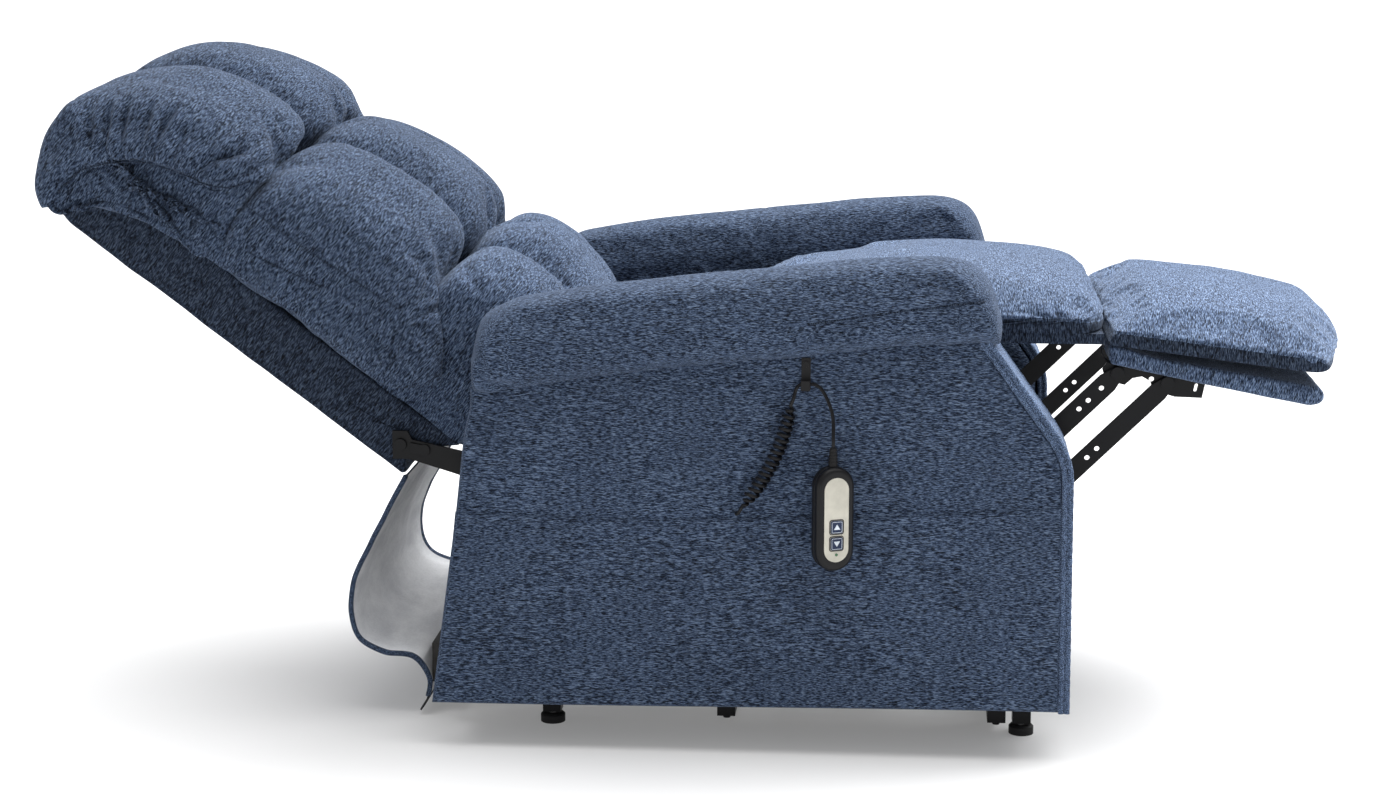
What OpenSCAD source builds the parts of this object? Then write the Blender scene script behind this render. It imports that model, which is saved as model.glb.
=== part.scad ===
// Power lift recliner chair, fully reclined with its footrest out.
// +X points forward, +Y to the sitter's left, +Z up. The floor is Z = 0.
// The origin is on the floor, under the middle of the open chair.

/* [Arms] */
// Clear width between the two arms
seat_w = 560; // [540:5:600]
// Thickness of each arm's box
arm_w = 110; // [95:1:130]
// How far the padded roll stands out past the arm's side
roll_out = 35; // [20:1:45]
// Height of the arm's highest point
arm_h = 662; // [652:1:680]
// Gap between the floor and the arm's side
arm_gap = 60; // [56:1:66]
// Thickness of the boards in the arm
board_t = 12; // [9:1:16]
// Thickness of the padded border down the arm's front
border_t = 13; // [8:1:18]
// Thickness of the cloth of the side pocket
pocket_t = 3; // [2:0.5:5]

/* [Back] */
// Angle of the back above level when fully reclined
back_angle = 37; // [35:0.5:39]
// Thickness of the covered back shell
shell_t = 84; // [76:1:88]
// Wall of the covered back shell
shell_wall = 10; // [6:1:14]
// Distance from the middle to the seams between the pillows' columns
groove_y = 110; // [100:1:125]
// How deep those seams are drawn in
groove_depth = 26; // [12:1:34]
// How much lower the side columns of the pillows stand than the middle one
camber = 26; // [16:1:34]
// How far the pillows stand out past the shell's sides
wing = 40; // [30:1:44]
// Thickness of the steel back bars
bar_t = 4; // [3:0.5:5]

/* [Seat] */
// Gap between the seat cushion and each arm
seat_gap = 12; // [10:1:16]
// Height of the seat cushion's crown above its platform
crown = 70; // [62:1:80]
// How much lower the cushion is along its sides
side_drop = 32; // [24:1:38]
// Thickness of the seat's platform board
platform_t = 14; // [10:1:18]
// Travel of the seat between reclined and upright
seat_travel = 63; // [50:1:66]
// Radius of the seat's guide pins
guide_r = 8; // [6:0.5:9]

/* [Footrest] */
// Length of the footrest links between their pins
link_len = 235; // [228:1:240]
// Half the width of the footrest links
link_hw = 13; // [10:0.5:15]
// Thickness of the steel strip of the footrest linkage
strip_t = 4; // [3:0.5:5]
// Radius of the footrest linkage's pins
link_pin_r = 5; // [4:0.5:6]
// Radius of the footrest's torque tube
crank_tube_r = 10; // [8:0.5:12]

/* [Base and lift] */
// Side of the square tube of the frames
tube = 25; // [22:1:28]
// Height of a foot pad
pad_h = 13; // [10:1:16]
// Radius of a foot pad
pad_r = 17; // [14:1:20]
// Radius of the lift arms' pins
lift_pin_r = 6; // [5:0.5:7]
// Width of a lift arm, across the chair
lift_w = 20; // [16:1:22]
// Radius of the actuator's outer tube
actuator_r = 17; // [14:1:19]
// Radius of the actuator's rod
rod_r = 9; // [7:0.5:11]

/* [Handset and lead] */
// Width of the handset
handset_w = 52; // [46:1:58]
// Length of the handset
handset_h = 138; // [130:1:146]
// Thickness of each of the handset's two shells
shell_half = 13; // [11:0.5:15]
// Side of a handset button
button_w = 17; // [14:0.5:18]
// Diameter of the lead
lead_d = 4.5; // [3.5:0.5:5]
// Diameter of the lead's curls, outside
curl_d = 20; // [17:0.5:22]
// Number of curls in the lead
curls = 18; // [14:1:19]

/* [Hidden] */

$fn = 40;
run = 0.05;          // radial clearance of a pin in its bore
slack = 1;           // clearance at an opened pivot, and beside a moving plate
seat_on = 0.3;       // gap between pieces that rest on each other across two bodies
half = seat_w / 2;

// Stack of plates beside the seat, from the arm inward
bar_y = half - 4 - bar_t;
plate_t = 4;
plate_y = half - 16;
rail_y = plate_y - tube;
base_y = half - 2 - tube;
link_y = plate_y - 21;
crank_y = link_y - 1.5 - strip_t;
seat_plate_y = crank_y - 2.5 - strip_t;
lug_t = 4;
lift_y = rail_y - 7 - lift_w;
lift2_y = lift_y - 2 * slack - lug_t - lift_w;

// Ends of the arms and of the frames along the chair
arm_front = 484;
arm_rear = -354;
rail_front = 455;
rail_rear = -330;

// Pivots as [x, z]
arm_pivot = [385, 58];        // rear lift arms on the base
arm2_pivot = [415, 58];       // front lift arms on the base
carriage_pivot = [-240, 100]; // rear lift arms on the carriage
carriage2_pivot = [100, 84];  // front lift arms on the carriage
base_act = [40, 62];          // actuator on the base
lever_act = [325, 228];       // actuator on the lift lever
torque_tube = [332, 116];
back_pivot = [-165, 395];
guide_rear = [-60, 440];
guide_front = [180, 440];
slide_dir = [-0.9487, -0.3162];

// Footrest board: its lower rear edge, its slope, and its pivots in its own frame
board_at = [549, 512];
board_slope = 11.2;
link_angle = 45;
link_fold = 50;
fold = 79;
function on_board(a, b) = board_at
    + [a * cos(board_slope) + b * sin(board_slope), b * cos(board_slope) - a * sin(board_slope)];
pa = on_board(78.5, -10);
pb = on_board(10.5, -11);
ka = pa - link_len * [cos(link_angle), sin(link_angle)];
kb = pb - link_len * [cos(link_angle), sin(link_angle)];
folded_pa = [438, 425];
folded_ka = folded_pa - link_len * [cos(link_fold), sin(link_fold)];
// centre of the turn that carries ka to folded_ka
crank_pivot = (ka + folded_ka) / 2
    + [folded_ka[1] - ka[1], ka[0] - folded_ka[0]] / (2 * tan(fold / 2));

// Back: its lower rear corner, and points along it (t) and out of it (n)
back_at = [-408, 343];
function on_back(t, n) = back_at
    + [n * sin(back_angle) - t * cos(back_angle), n * cos(back_angle) + t * sin(back_angle)];
shell_y = half - seat_gap;
pillow_n = shell_t + seat_on;

// Seat heights
platform_z = 541.5;
cushion_z = platform_z + platform_t + seat_on;
seat_y = half - seat_gap;
deck_z = 453;

// ---------- helpers ----------
module box(x0, x1, y0, y1, z0, z1) translate([x0, y0, z0]) cube([x1 - x0, y1 - y0, z1 - z0]);
// outline in the XZ plane, extruded from y0 to y1
module slab(points, y0, y1)
    translate([0, y1, 0]) rotate([90, 0, 0]) linear_extrude(y1 - y0) polygon(points);
module ycyl(p, y0, y1, r) translate([p[0], y1, p[1]]) rotate([90, 0, 0]) cylinder(h = y1 - y0, r = r);
module both() {
    children();
    mirror([0, 1, 0]) children();
}
// outline of a flat bar from p to q with round ends: rq is the end radius at q
function bar_outline(p, q, hw, rq) = let (u = (q - p) / norm(q - p), v = [-u[1], u[0]], k = 12)
    concat([for (i = [0 : k]) let (a = 90 + 180 * i / k) p + hw * (u * cos(a) + v * sin(a))],
        rq < hw ? [q - u * 1.3 * hw - v * hw] : [],
        [for (i = [0 : k]) let (a = -90 + 180 * i / k) q + rq * (u * cos(a) + v * sin(a))],
        rq < hw ? [q - u * 1.3 * hw + v * hw] : []);
module bar(p, q, hw, y0, y1) slab(bar_outline(p, q, hw, hw), y0, y1);
// closed skin through rings of equal length, with a fan at each end
module skin(rings) {
    n = len(rings[0]);
    m = len(rings);
    points = [for (r = rings) each r, mean(rings[0]), mean(rings[m - 1])];
    sides = [for (i = [0 : m - 2], j = [0 : n - 1])
        let (a = i * n + j, b = i * n + (j + 1) % n, c = a + n, d = b + n)
        each [[a, b, c], [b, d, c]]];
    first = [for (j = [0 : n - 1]) [(j + 1) % n, j, m * n]];
    last = [for (j = [0 : n - 1]) [(m - 1) * n + j, (m - 1) * n + (j + 1) % n, m * n + 1]];
    polyhedron(points, concat(sides, first, last), convexity = 6);
}
function mean(p) = [for (k = [0 : 2]) [for (q = p) q[k]] * [for (q = p) 1] / len(p)];
function at(table, x) = lookup(x, table);
// strip of thickness t along a path
function normal(p, i) = let (a = p[max(i - 1, 0)], b = p[min(i + 1, len(p) - 1)], d = (b - a) / norm(b - a))
    [-d[1], d[0]];
function ribbon(p, t) = concat(
    [for (i = [0 : len(p) - 1]) p[i] + normal(p, i) * t / 2],
    [for (i = [len(p) - 1 : -1 : 0]) p[i] - normal(p, i) * t / 2]);
// smooth path through chosen points, k steps between two of them
function spline(p, k) = concat([for (i = [0 : len(p) - 2], s = [0 : k - 1])
    let (u = s / k, a = p[max(i - 1, 0)], b = p[i], c = p[i + 1], d = p[min(i + 2, len(p) - 1)])
    0.5 * (2 * b + (c - a) * u + (2 * a - 5 * b + 4 * c - d) * u * u
        + (3 * b - a - 3 * c + d) * u * u * u)], [p[len(p) - 1]]);

// ---------- base ----------
foot_x = [-207, 440];
cross_z = 15;
rail_z = 40;
module base_frame() color("#17181b") difference() {
    union() {
        both() {
            box(-222, rail_front, base_y, base_y + tube, rail_z, rail_z + tube);
            for (x = foot_x) box(x - tube / 2, x + tube / 2, base_y, base_y + tube, pad_h + 3, rail_z);
            base_lug(lift_y + lift_w + slack);
            base_lug(lift_y - slack - lug_t);
            base_lug(lift2_y - slack - lug_t);
            slab([[24, rail_z], [56, rail_z], [52, base_act[1]], [48, 74], [32, 74], [28, base_act[1]]],
                actuator_r + 5, actuator_r + 5 + lug_t);
        }
        for (x = [35, 406]) box(x - tube / 2, x + tube / 2, -base_y - tube + 8, base_y + tube - 8, cross_z, rail_z);
        box(-222, -222 + tube, -base_y, base_y, rail_z, rail_z + tube);
    }
    both() {
        ycyl(arm_pivot, lift_y - slack - lug_t - 1, base_y - 1, lift_pin_r);
        ycyl(arm2_pivot, lift2_y - slack - lug_t - 1, lift2_y + lift_w + slack + lug_t + 0.5, lift_pin_r);
        for (x = foot_x) translate([x, base_y + tube / 2, 0]) cylinder(h = rail_z - 4, r = 6);
    }
    ycyl(base_act, -60, 60, lift_pin_r);
}
module base_lug(y) slab([[368, 52], [372, 70], [384, 74], [418, 74], [430, 66], [430, 48], [419, 39], [394, 39]],
    y, y + lug_t);
module foot_pads() color("#101114") for (x = foot_x, s = [-1, 1])
    translate([x, s * (base_y + tube / 2), 0]) difference() {
        union() {
            cylinder(h = pad_h - 3, r = pad_r);
            translate([0, 0, pad_h - 3]) cylinder(h = 3, r1 = pad_r, r2 = pad_r - 3);
        }
        translate([0, 0, pad_h - 5]) cylinder(h = 10, r = 6);
    }
module foot_studs() color("#8f9296") for (x = foot_x, s = [-1, 1])
    translate([x, s * (base_y + tube / 2), pad_h - 5]) cylinder(h = rail_z - 4 - pad_h + 5, r = 6);
module tube_caps() color("#101114") for (x = [35, 406]) both() {
    y = base_y + tube - 8;
    box(x - tube / 2, x + tube / 2, y, y + 3, cross_z, rail_z);
    translate([x, y - 12, cross_z - 6]) cylinder(h = 6, r = 5);
}
module base_pins() color("#8f9296") {
    both() {
        ycyl(arm_pivot, lift_y - slack - lug_t, lift_y + lift_w + slack + lug_t, lift_pin_r);
        ycyl(arm2_pivot, lift2_y - slack - lug_t, lift2_y + lift_w + slack + lug_t, lift_pin_r);
    }
    ycyl(base_act, -actuator_r - 5 - lug_t, actuator_r + 5 + lug_t, lift_pin_r);
}

// ---------- lift ----------
lift_hw = 15;
module rear_lift_arms() color("#1b1c20") {
    both() difference() {
        union() {
            bar(arm_pivot, carriage_pivot, lift_hw, lift_y, lift_y + lift_w);
            slab([[300, 66], [360, 62], [342, 112], [318, 112]], lift_y, lift_y + lift_w);
            ycyl(torque_tube, lift_y, lift_y + lift_w, 14);
        }
        ycyl(arm_pivot, lift_y - 1, lift_y + lift_w + 1, lift_pin_r + run);
        ycyl(carriage_pivot, lift_y - 1, lift_y + lift_w + 1, lift_pin_r + run);
    }
    ycyl(torque_tube, -lift_y, lift_y, 12);
    both() difference() {
        bar(torque_tube, lever_act, 13, rod_r + 3, rod_r + 3 + lug_t + 1);
        ycyl(lever_act, 0, 40, lift_pin_r);
    }
    // lever pin, on which the rod's eye rides with slack
    ycyl(lever_act, -rod_r - 4 - lug_t, rod_r + 4 + lug_t, lift_pin_r);
}
module front_lift_arms() color("#1b1c20") both() difference() {
    bar(arm2_pivot, carriage2_pivot, 12, lift2_y, lift2_y + lift_w);
    ycyl(arm2_pivot, lift2_y - 1, lift2_y + lift_w + 1, lift_pin_r + run);
    ycyl(carriage2_pivot, lift2_y - 1, lift2_y + lift_w + 1, lift_pin_r);
}
module front_lift_pins() color("#8f9296") both()
    ycyl(carriage2_pivot, lift2_y - slack - lug_t, lift2_y + lift_w + slack + lug_t, lift_pin_r);

act_angle = atan2(lever_act[1] - base_act[1], lever_act[0] - base_act[0]);
act_len = norm(lever_act - base_act);
// frame with +X along the actuator, from its lower pin
module along_actuator() translate([base_act[0], 0, base_act[1]]) rotate([0, -act_angle, 0]) children();
module actuator_housing() color("#202227") along_actuator() difference() {
    union() {
        translate([0, actuator_r, 0]) rotate([90, 0, 0]) cylinder(h = 2 * actuator_r, r = 13);
        box(0, 40, -11, 11, -11, 11);
        box(34, 84, -actuator_r - 3, actuator_r + 3, -actuator_r - 5, actuator_r + 5);
        translate([84, 0, 0]) rotate([0, 90, 0]) cylinder(h = 150, r = actuator_r);
    }
    translate([110, 0, 0]) rotate([0, 90, 0]) cylinder(h = 140, r = rod_r + run);
    rotate([90, 0, 0]) cylinder(h = 80, r = lift_pin_r + run, center = true);
}
module actuator_motor() color("#2a2c31") along_actuator()
    translate([60, -actuator_r - 3 - 44, 0]) {
        box(-22, 22, 34, 44, -20, 20);
        translate([-22, 12, 0]) rotate([0, 90, 0]) cylinder(h = 120, r = 22);
    }
module actuator_rod() color("silver") along_actuator() {
    translate([120, 0, 0]) rotate([0, 90, 0]) cylinder(h = act_len - 134, r = rod_r);
    difference() {
        translate([act_len, rod_r, 0]) rotate([90, 0, 0]) cylinder(h = 2 * rod_r, r = 16);
        translate([act_len, 0, 0]) rotate([90, 0, 0]) cylinder(h = 60, r = lift_pin_r + 4, center = true);
    }
}

// ---------- carriage ----------
carriage_z = 78;
module carriage_frame() color("#1b1c20") difference() {
    union() {
        both() {
            slab([[rail_rear, carriage_z], [rail_front, carriage_z], [rail_front, 130], [300, 190],
                [240, 300], [235, 470], [-190, 470], [-215, 420], [-240, 330], [rail_rear, 300]],
                plate_y, plate_y + plate_t);
            box(rail_rear, rail_front, rail_y, plate_y, carriage_z, carriage_z + tube);
            // stub tubes that carry the front lift arms
            box(carriage2_pivot[0] - 12, carriage2_pivot[0] + 12, lift2_y - slack - lug_t, plate_y, 112, 135);
            for (y = [lift2_y - slack - lug_t, lift2_y + lift_w + slack])
                slab([[86, 74], [92, 66], [108, 66], [114, 74], [112, 114], [88, 114]], y, y + lug_t);
            for (y = [lift_y - slack - lug_t, lift_y + lift_w + slack])
                slab([[rail_rear + tube - 2, 80], [-232, 84], [-222, 92], [-222, 108], [-232, 116],
                    [rail_rear + tube - 2, 103]], y, y + lug_t);
        }
        box(rail_rear, rail_rear + tube, -rail_y, rail_y, carriage_z, carriage_z + tube);
        box(rail_front - tube, rail_front, -rail_y, rail_y, carriage_z, carriage_z + tube);
    }
    both() {
        for (p = [guide_rear, guide_front]) guide_slot(p);
        ycyl(carriage_pivot, lift_y - 12, lift_y + lift_w + slack + lug_t + 1, lift_pin_r);
        ycyl(carriage2_pivot, lift2_y - 12, lift2_y + lift_w + 12, lift_pin_r + slack);
    }
}
module guide_slot(p) {
    q = p + slide_dir * seat_travel;
    bar(p, q, guide_r + 0.4, plate_y - 1, plate_y + plate_t + 1);
}
module carriage_pins() color("#8f9296") both() {
    ycyl(carriage_pivot, lift_y - slack - lug_t, lift_y + lift_w + slack + lug_t, lift_pin_r);
    // back hinge: a pin from the side plate out to the arm
    ycyl(back_pivot, plate_y + plate_t, half - 0.5, 10);
    ycyl(back_pivot, plate_y + plate_t, bar_y - 0.6, 20);
}
batten_rear = -379.2;
module rear_batten() color("#6d5a45")
    slab([[batten_rear, 46], [batten_rear + 14, 46], [batten_rear + 14, carriage_z + 2], [rail_rear, carriage_z + 2],
        [rail_rear, carriage_z + 24], [batten_rear, carriage_z + 24]], -half + 32, half - 32);
// control box, with its mains inlet in its rear face
module control_box() color("#191a1d") difference() {
    union() {
        box(rail_rear, -235, -80, 80, carriage_z + tube, 146);
        box(rail_rear + 8, -243, -70, 70, 146, 150);
        box(rail_rear - 14, rail_rear, -16, 16, 108, 132);
    }
    box(rail_rear - 15, rail_rear - 4, -12, 12, 112, 128);
}

// Arm: how far the top of the roll and its lower seam lie below arm_h, along the chair
roll_drop = [[-291, 126], [-286, 100], [-273, 78], [-245, 65], [-220, 58], [-127, 43], [5, 28], [135, 14],
    [226, 5], [304, 1], [345, 4], [372, 18], [388, 42], [395, 72]];
seam_drop = [[-291, 178], [-193, 162], [-56, 141], [146, 121], [271, 105], [362, 101], [395, 103]];
roll_width = [[-291, 0.62], [-286, 0.82], [-273, 0.93], [-245, 1], [345, 1], [372, 0.94], [388, 0.82],
    [395, 0.6]];
roll_x = [-291, -286, -273, -245, -220, -127, 5, 135, 226, 304, 345, 372, 388, 395];
function seam_z(x) = arm_h - at(seam_drop, x);
function roll_ring(x, s) = let (
    inner = half + 3, outer = half + arm_w + roll_out,
    top = arm_h - at(roll_drop, x), low = seam_z(x), k = at(roll_width, x),
    rz = (top - low) / 1.55, zc = top - rz, yc = (inner + outer) / 2, ry = (outer - inner) / 2 * k)
    [for (i = [0 : 15]) let (a = -33 + 246 * i / 15)
        [x, s * (yc + ry * cos(a)), zc + rz * sin(a)]];
// s is -1 for the right arm and 1 for the left
module arm_roll(s) skin([for (x = roll_x) s < 0 ? roll_ring(x, s) : reverse(roll_ring(x, s))]);
function reverse(p) = [for (i = [len(p) - 1 : -1 : 0]) p[i]];
module arm_roll_right() color("#46587a") arm_roll(-1);
module arm_roll_left() color("#46587a") arm_roll(1);

// outline of the arm's side, drawn in by d
front_break = [arm_front - 13, arm_h - 239];
front_top = [arm_front - 104, arm_h - 114];
function arm_outline(d) = concat(
    [[arm_rear + d, arm_gap + d], [arm_rear + 32 + d, 287], [arm_rear + 49 + d, arm_h - 232],
        [arm_rear + 58 + d, arm_h - 194]],
    [for (x = [-270, -193, -56, 146, 271, 350]) [x, seam_z(x) - 2 - d]],
    [front_top - [d, d], front_break - [d, d / 2], [arm_front - 3 - d, front_break[1] - 28], [arm_front - d, arm_gap + 8 + d]]);
module arm_side(s, y0, y1, d) {
    lo = s < 0 ? -y1 : y0;
    slab(arm_outline(d), lo, lo + y1 - y0);
}
module arm_panel(s) difference() {
    arm_side(s, half + arm_w - 10, half + arm_w, 0);
    if (s < 0) ycyl([lead_end[0], lead_end[2]], -half - arm_w - 1, -half - arm_w + 11, lead_d / 2 + 0.5);
}
module arm_panel_right() color("#3c4d6e") arm_panel(-1);
module arm_panel_left() color("#3c4d6e") arm_panel(1);
module arm_frame(s) {
    arm_side(s, half, half + board_t, 6);
    y0 = s < 0 ? -half - arm_w + 10 : half + board_t;
    y1 = y0 + arm_w - 10 - board_t;
    box(arm_rear + 70, arm_rear + 100, y0, y1, arm_gap + 36, arm_h - 222);
    box(arm_front - 60, arm_front - 25, y0, y1, arm_gap + 36, arm_h - 252);
    box(arm_rear + 30, arm_front - 25, y0, y1, arm_gap + 14, arm_gap + 36);
    box(arm_rear + 70, arm_front - 170, y0, y1, arm_h - 222, arm_h - 197);
}
module arm_frame_right() color("#a98a5f") arm_frame(-1);
module arm_frame_left() color("#a98a5f") arm_frame(1);
module arm_border(s) {
    y0 = s < 0 ? -half - arm_w - 1 : half + 2;
    f = [[arm_front, arm_gap + 8], [arm_front - 3, front_break[1] - 28], front_break, front_top];
    g = [front_top + [border_t * 0.9, border_t * 0.7], front_break + [border_t, border_t * 0.5],
        [arm_front + border_t - 1, front_break[1] - 31], [arm_front + border_t + 1, 240],
        [arm_front + border_t, arm_gap + 16], [arm_front + border_t - 5, arm_gap + 8]];
    slab(concat(f, g), y0, y0 + arm_w - 1);
}
module arm_border_right() color("#425373") arm_border(-1);
module arm_border_left() color("#425373") arm_border(1);
pocket_top = [[-320, 326], [-60, 322], [250, 332], [arm_front - 8, 348]];
module side_pockets() color("#3a4b6b") both()
    slab(concat([[arm_rear + 4, arm_gap + 4]], pocket_top, [[arm_front - 4, arm_gap + 12]]),
        half + arm_w, half + arm_w + pocket_t);
clip_x = 146;
clip_z = 503;
module cord_clip() color("#121316") {
    y = -half - arm_w;
    box(clip_x - 6, clip_x + 6, y - 2, y, clip_z + 3, clip_z + 37);
    box(clip_x - 6, clip_x + 6, y - 18, y, clip_z - 4, clip_z);
    box(clip_x - 6, clip_x + 6, y - 2, y, clip_z - 4, clip_z + 3);
    box(clip_x - 6, clip_x + 6, y - 18, y - 15, clip_z, clip_z + 9);
    translate([clip_x, y - 1, clip_z + 29]) rotate([90, 0, 0]) cylinder(h = 2.5, r = 4);
}

// ---------- seat ----------
platform_x = [45, 536];
seat_front = 541;
module seat_frame() color("#1b1c20") difference() {
    union() {
        both() slab([[-112, 424], [195, 424], [300, crank_pivot[1] - 18], [345, crank_pivot[1] - 18],
            [354, crank_pivot[1]], [348, 470], [362, 505], [362, platform_z], [45, platform_z],
            [30, deck_z], [-112, deck_z]], seat_plate_y, seat_plate_y + strip_t);
        box(337, 362, -seat_plate_y, seat_plate_y, platform_z - tube, platform_z);
        box(60, 60 + tube, -seat_plate_y, seat_plate_y, platform_z - tube, platform_z);
        box(-112, -87, -seat_plate_y, seat_plate_y, deck_z - tube, deck_z);
    }
    both() {
        ycyl(crank_pivot, seat_plate_y - 1, seat_plate_y + strip_t + 1, crank_tube_r + run);
        for (p = [guide_rear, guide_front]) ycyl(p, seat_plate_y - 1, seat_plate_y + strip_t + 1, guide_r - 2);
    }
}
module guide_pins() color("#8f9296") both() for (p = [guide_rear, guide_front]) {
    ycyl(p, seat_plate_y, plate_y + plate_t + 0.4, guide_r - 2);
    ycyl(p, seat_plate_y + strip_t, plate_y - 0.4, guide_r + 4);
    ycyl(p, plate_y - 0.4, plate_y + plate_t + 0.4, guide_r);
    ycyl(p, plate_y + plate_t + 0.4, bar_y - 0.8, guide_r + 3);
}
spring_y = [-160, -80, 0, 80, 160];
module seat_springs() color("#55585c") for (y = spring_y) {
    path = [for (i = [0 : 12]) [87 + 248 / 12 * i, y + (i % 2 == 0 ? -18 : 18)]];
    translate([0, 0, platform_z - 5]) linear_extrude(4.5) polygon(ribbon(path, 4));
}
module seat_platform() color("#33405c")
    box(platform_x[0], platform_x[1], -seat_y + 2, seat_y - 2, platform_z, platform_z + platform_t);
module rear_deck() color("#2f3b56")
    slab([[-150, deck_z], [26, deck_z], [28, deck_z + 40], [20, deck_z + 48], [-4, deck_z + 49],
        [-60, deck_z + 33], [-140, deck_z + 14], [-150, deck_z + 8]], -half + 30, half - 30);

// Seat cushion: outline along the chair as [x, height above the platform / crown]
cushion_top = [[seat_front - 2, 0], [seat_front, 0.14], [seat_front - 1, 0.32], [seat_front - 8, 0.5],
    [seat_front - 22, 0.63], [seat_front - 50, 0.76], [seat_front - 90, 0.87], [410, 0.93], [335, 0.99], [270, 0.96],
    [238, 0.93], [220, 0.86], [207, 0.76], [192, 0.7], [164, 0.62], [130, 0.56], [95, 0.42], [66, 0.22], [48, 0.08],
    [45, 0]];
function cushion_ring(y) = let (u = abs(y) / seat_y, k = 1 - side_drop / crown * pow(u, 3.2),
    inset = 5 * pow(u, 6))
    [for (p = cushion_top) [p[0] + (p[0] > 300 ? -inset : inset), y,
        cushion_z + crown * p[1] * (p[1] > 0.5 ? k : 1 - (1 - k) * p[1])]];
cushion_y = [-1, -0.985, -0.95, -0.88, -0.75, -0.55, -0.3, 0, 0.3, 0.55, 0.75, 0.88, 0.95, 0.985, 1];
module seat_cushion() color("#566a8e")
    skin([for (v = cushion_y) cushion_ring(v * seat_y)]);

// ---------- footrest ----------
module footrest_cranks() color("#1b1c20") {
    both() difference() {
        union() {
            slab([crank_pivot + [-12, -8], kb + [-10, -10], ka + [-4, -14], ka + [12, 8], crank_pivot + [10, 14]],
                crank_y, crank_y + strip_t);
            ycyl(crank_pivot, crank_y, crank_y + strip_t, 18);
            ycyl(ka, crank_y, crank_y + strip_t, 14);
            ycyl(kb, crank_y, crank_y + strip_t, 14);
        }
        ycyl(ka, crank_y - 1, crank_y + strip_t + 1, link_pin_r);
        ycyl(kb, crank_y - 1, crank_y + strip_t + 1, link_pin_r);
    }
    ycyl(crank_pivot, -crank_y, crank_y, crank_tube_r);
}
// pin with a shoulder and a round head, through a link
module link_pin(p) {
    ycyl(p, crank_y, link_y + strip_t + 0.5, link_pin_r);
    ycyl(p, crank_y + strip_t, link_y - 0.4, link_pin_r + 3);
    ycyl(p, link_y + strip_t + 0.5, link_y + strip_t + 3, link_pin_r + 4);
}
module crank_pins() color("#26282c") both() {
    link_pin(ka);
    link_pin(kb);
}
module link(p, q, hw, holes, clearance) difference() {
    slab(bar_outline(p, q, hw, 9.4), link_y, link_y + strip_t);
    ycyl(p, link_y - 1, link_y + strip_t + 1, link_pin_r + run);
    ycyl(q, link_y - 1, link_y + strip_t + 1, link_pin_r + clearance);
    for (s = holes) ycyl(p + s * (q - p) / norm(q - p), link_y - 1, link_y + strip_t + 1, 3.5);
}
module front_links() color("#141518") both() link(ka, pa, link_hw, [88, 106], run);
// the rear links' upper holes are the opened pivots of the parallelogram
module rear_links() color("#141518") both() link(kb, pb, link_hw + 1, [165, 182, 206], 0.3);
module footrest_brackets() color("#141518") both() difference() {
    union() {
        slab([on_board(-6, 0), on_board(-10, -10), on_board(-2, -24), on_board(24, -25), on_board(32, -14),
            on_board(44, -9), on_board(56, -13), on_board(62, -24), on_board(92, -27), on_board(128, -21),
            on_board(128, 0)], crank_y, crank_y + strip_t);
        // flange under the board
        slab([on_board(4, -3), on_board(4, -0.3), on_board(128, -0.3), on_board(128, -3)], crank_y - 18, crank_y + 1);
    }
    ycyl(pa, crank_y - 1, crank_y + strip_t + 1, link_pin_r);
    ycyl(pb, crank_y - 1, crank_y + strip_t + 1, link_pin_r);
    ycyl(on_board(57, -10), crank_y - 1, crank_y + strip_t + 1, 3.5);
    bar(on_board(117, -5.5), on_board(117, -12.5), 2.2, crank_y - 1, crank_y + strip_t + 1);
}
module bracket_rivets() color("#26282c") both() {
    link_pin(pa);
    link_pin(pb);
}
board_y = half - 20;
module footrest_board() color("#3a4a6a")
    slab([on_board(-4, 2), on_board(0, 0), on_board(267, 0), on_board(280, 6), on_board(284, 14), on_board(281, 23),
        on_board(272, 28), on_board(60, 22), on_board(14, 27), on_board(-7, 27), on_board(-9, 18)], -board_y, board_y);
strap = spline([on_board(3, -1.2), on_board(-8, 1), on_board(-13, 10), on_board(-13.5, 20)], 3);
module footrest_straps() color("#101114") both() slab(ribbon(strap, 1.6), crank_y - 26, crank_y - 4);

// Footrest pad: outline along the board as [a, height share], over a base line that rises forward
pad_y = half - 10;
function pad_base(a) = 28.5 + 0.0725 * a;
pad_crown = 68;
pad_out = [[-8, 0], [60, 0], [130, 0], [200, 0], [270, 0], [301, 0.02], [318, 0.12], [324, 0.27], [319, 0.5],
    [301, 0.74], [268, 0.9], [200, 1], [130, 1.02], [70, 1], [30, 0.93], [4, 0.78], [-9, 0.55], [-13, 0.25]];
function pad_ring(y) = let (u = abs(y) / pad_y, k = 1 - 0.52 * pow(u, 3), front = 44 * pow(u, 4), inset = 3 * pow(u, 6))
    [for (p = pad_out) let (a = p[0] > 150 ? p[0] - front * (p[0] - 150) / 170 : p[0] + inset,
        q = on_board(a, pad_base(a) + pad_crown * p[1] * k)) [q[0], y, q[1]]];
pad_rows = [-1, -0.98, -0.94, -0.87, -0.75, -0.55, -0.3, 0, 0.3, 0.55, 0.75, 0.87, 0.94, 0.98, 1];
module footrest_pad() color("#5d7297") skin([for (v = pad_rows) pad_ring(v * pad_y)]);

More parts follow.
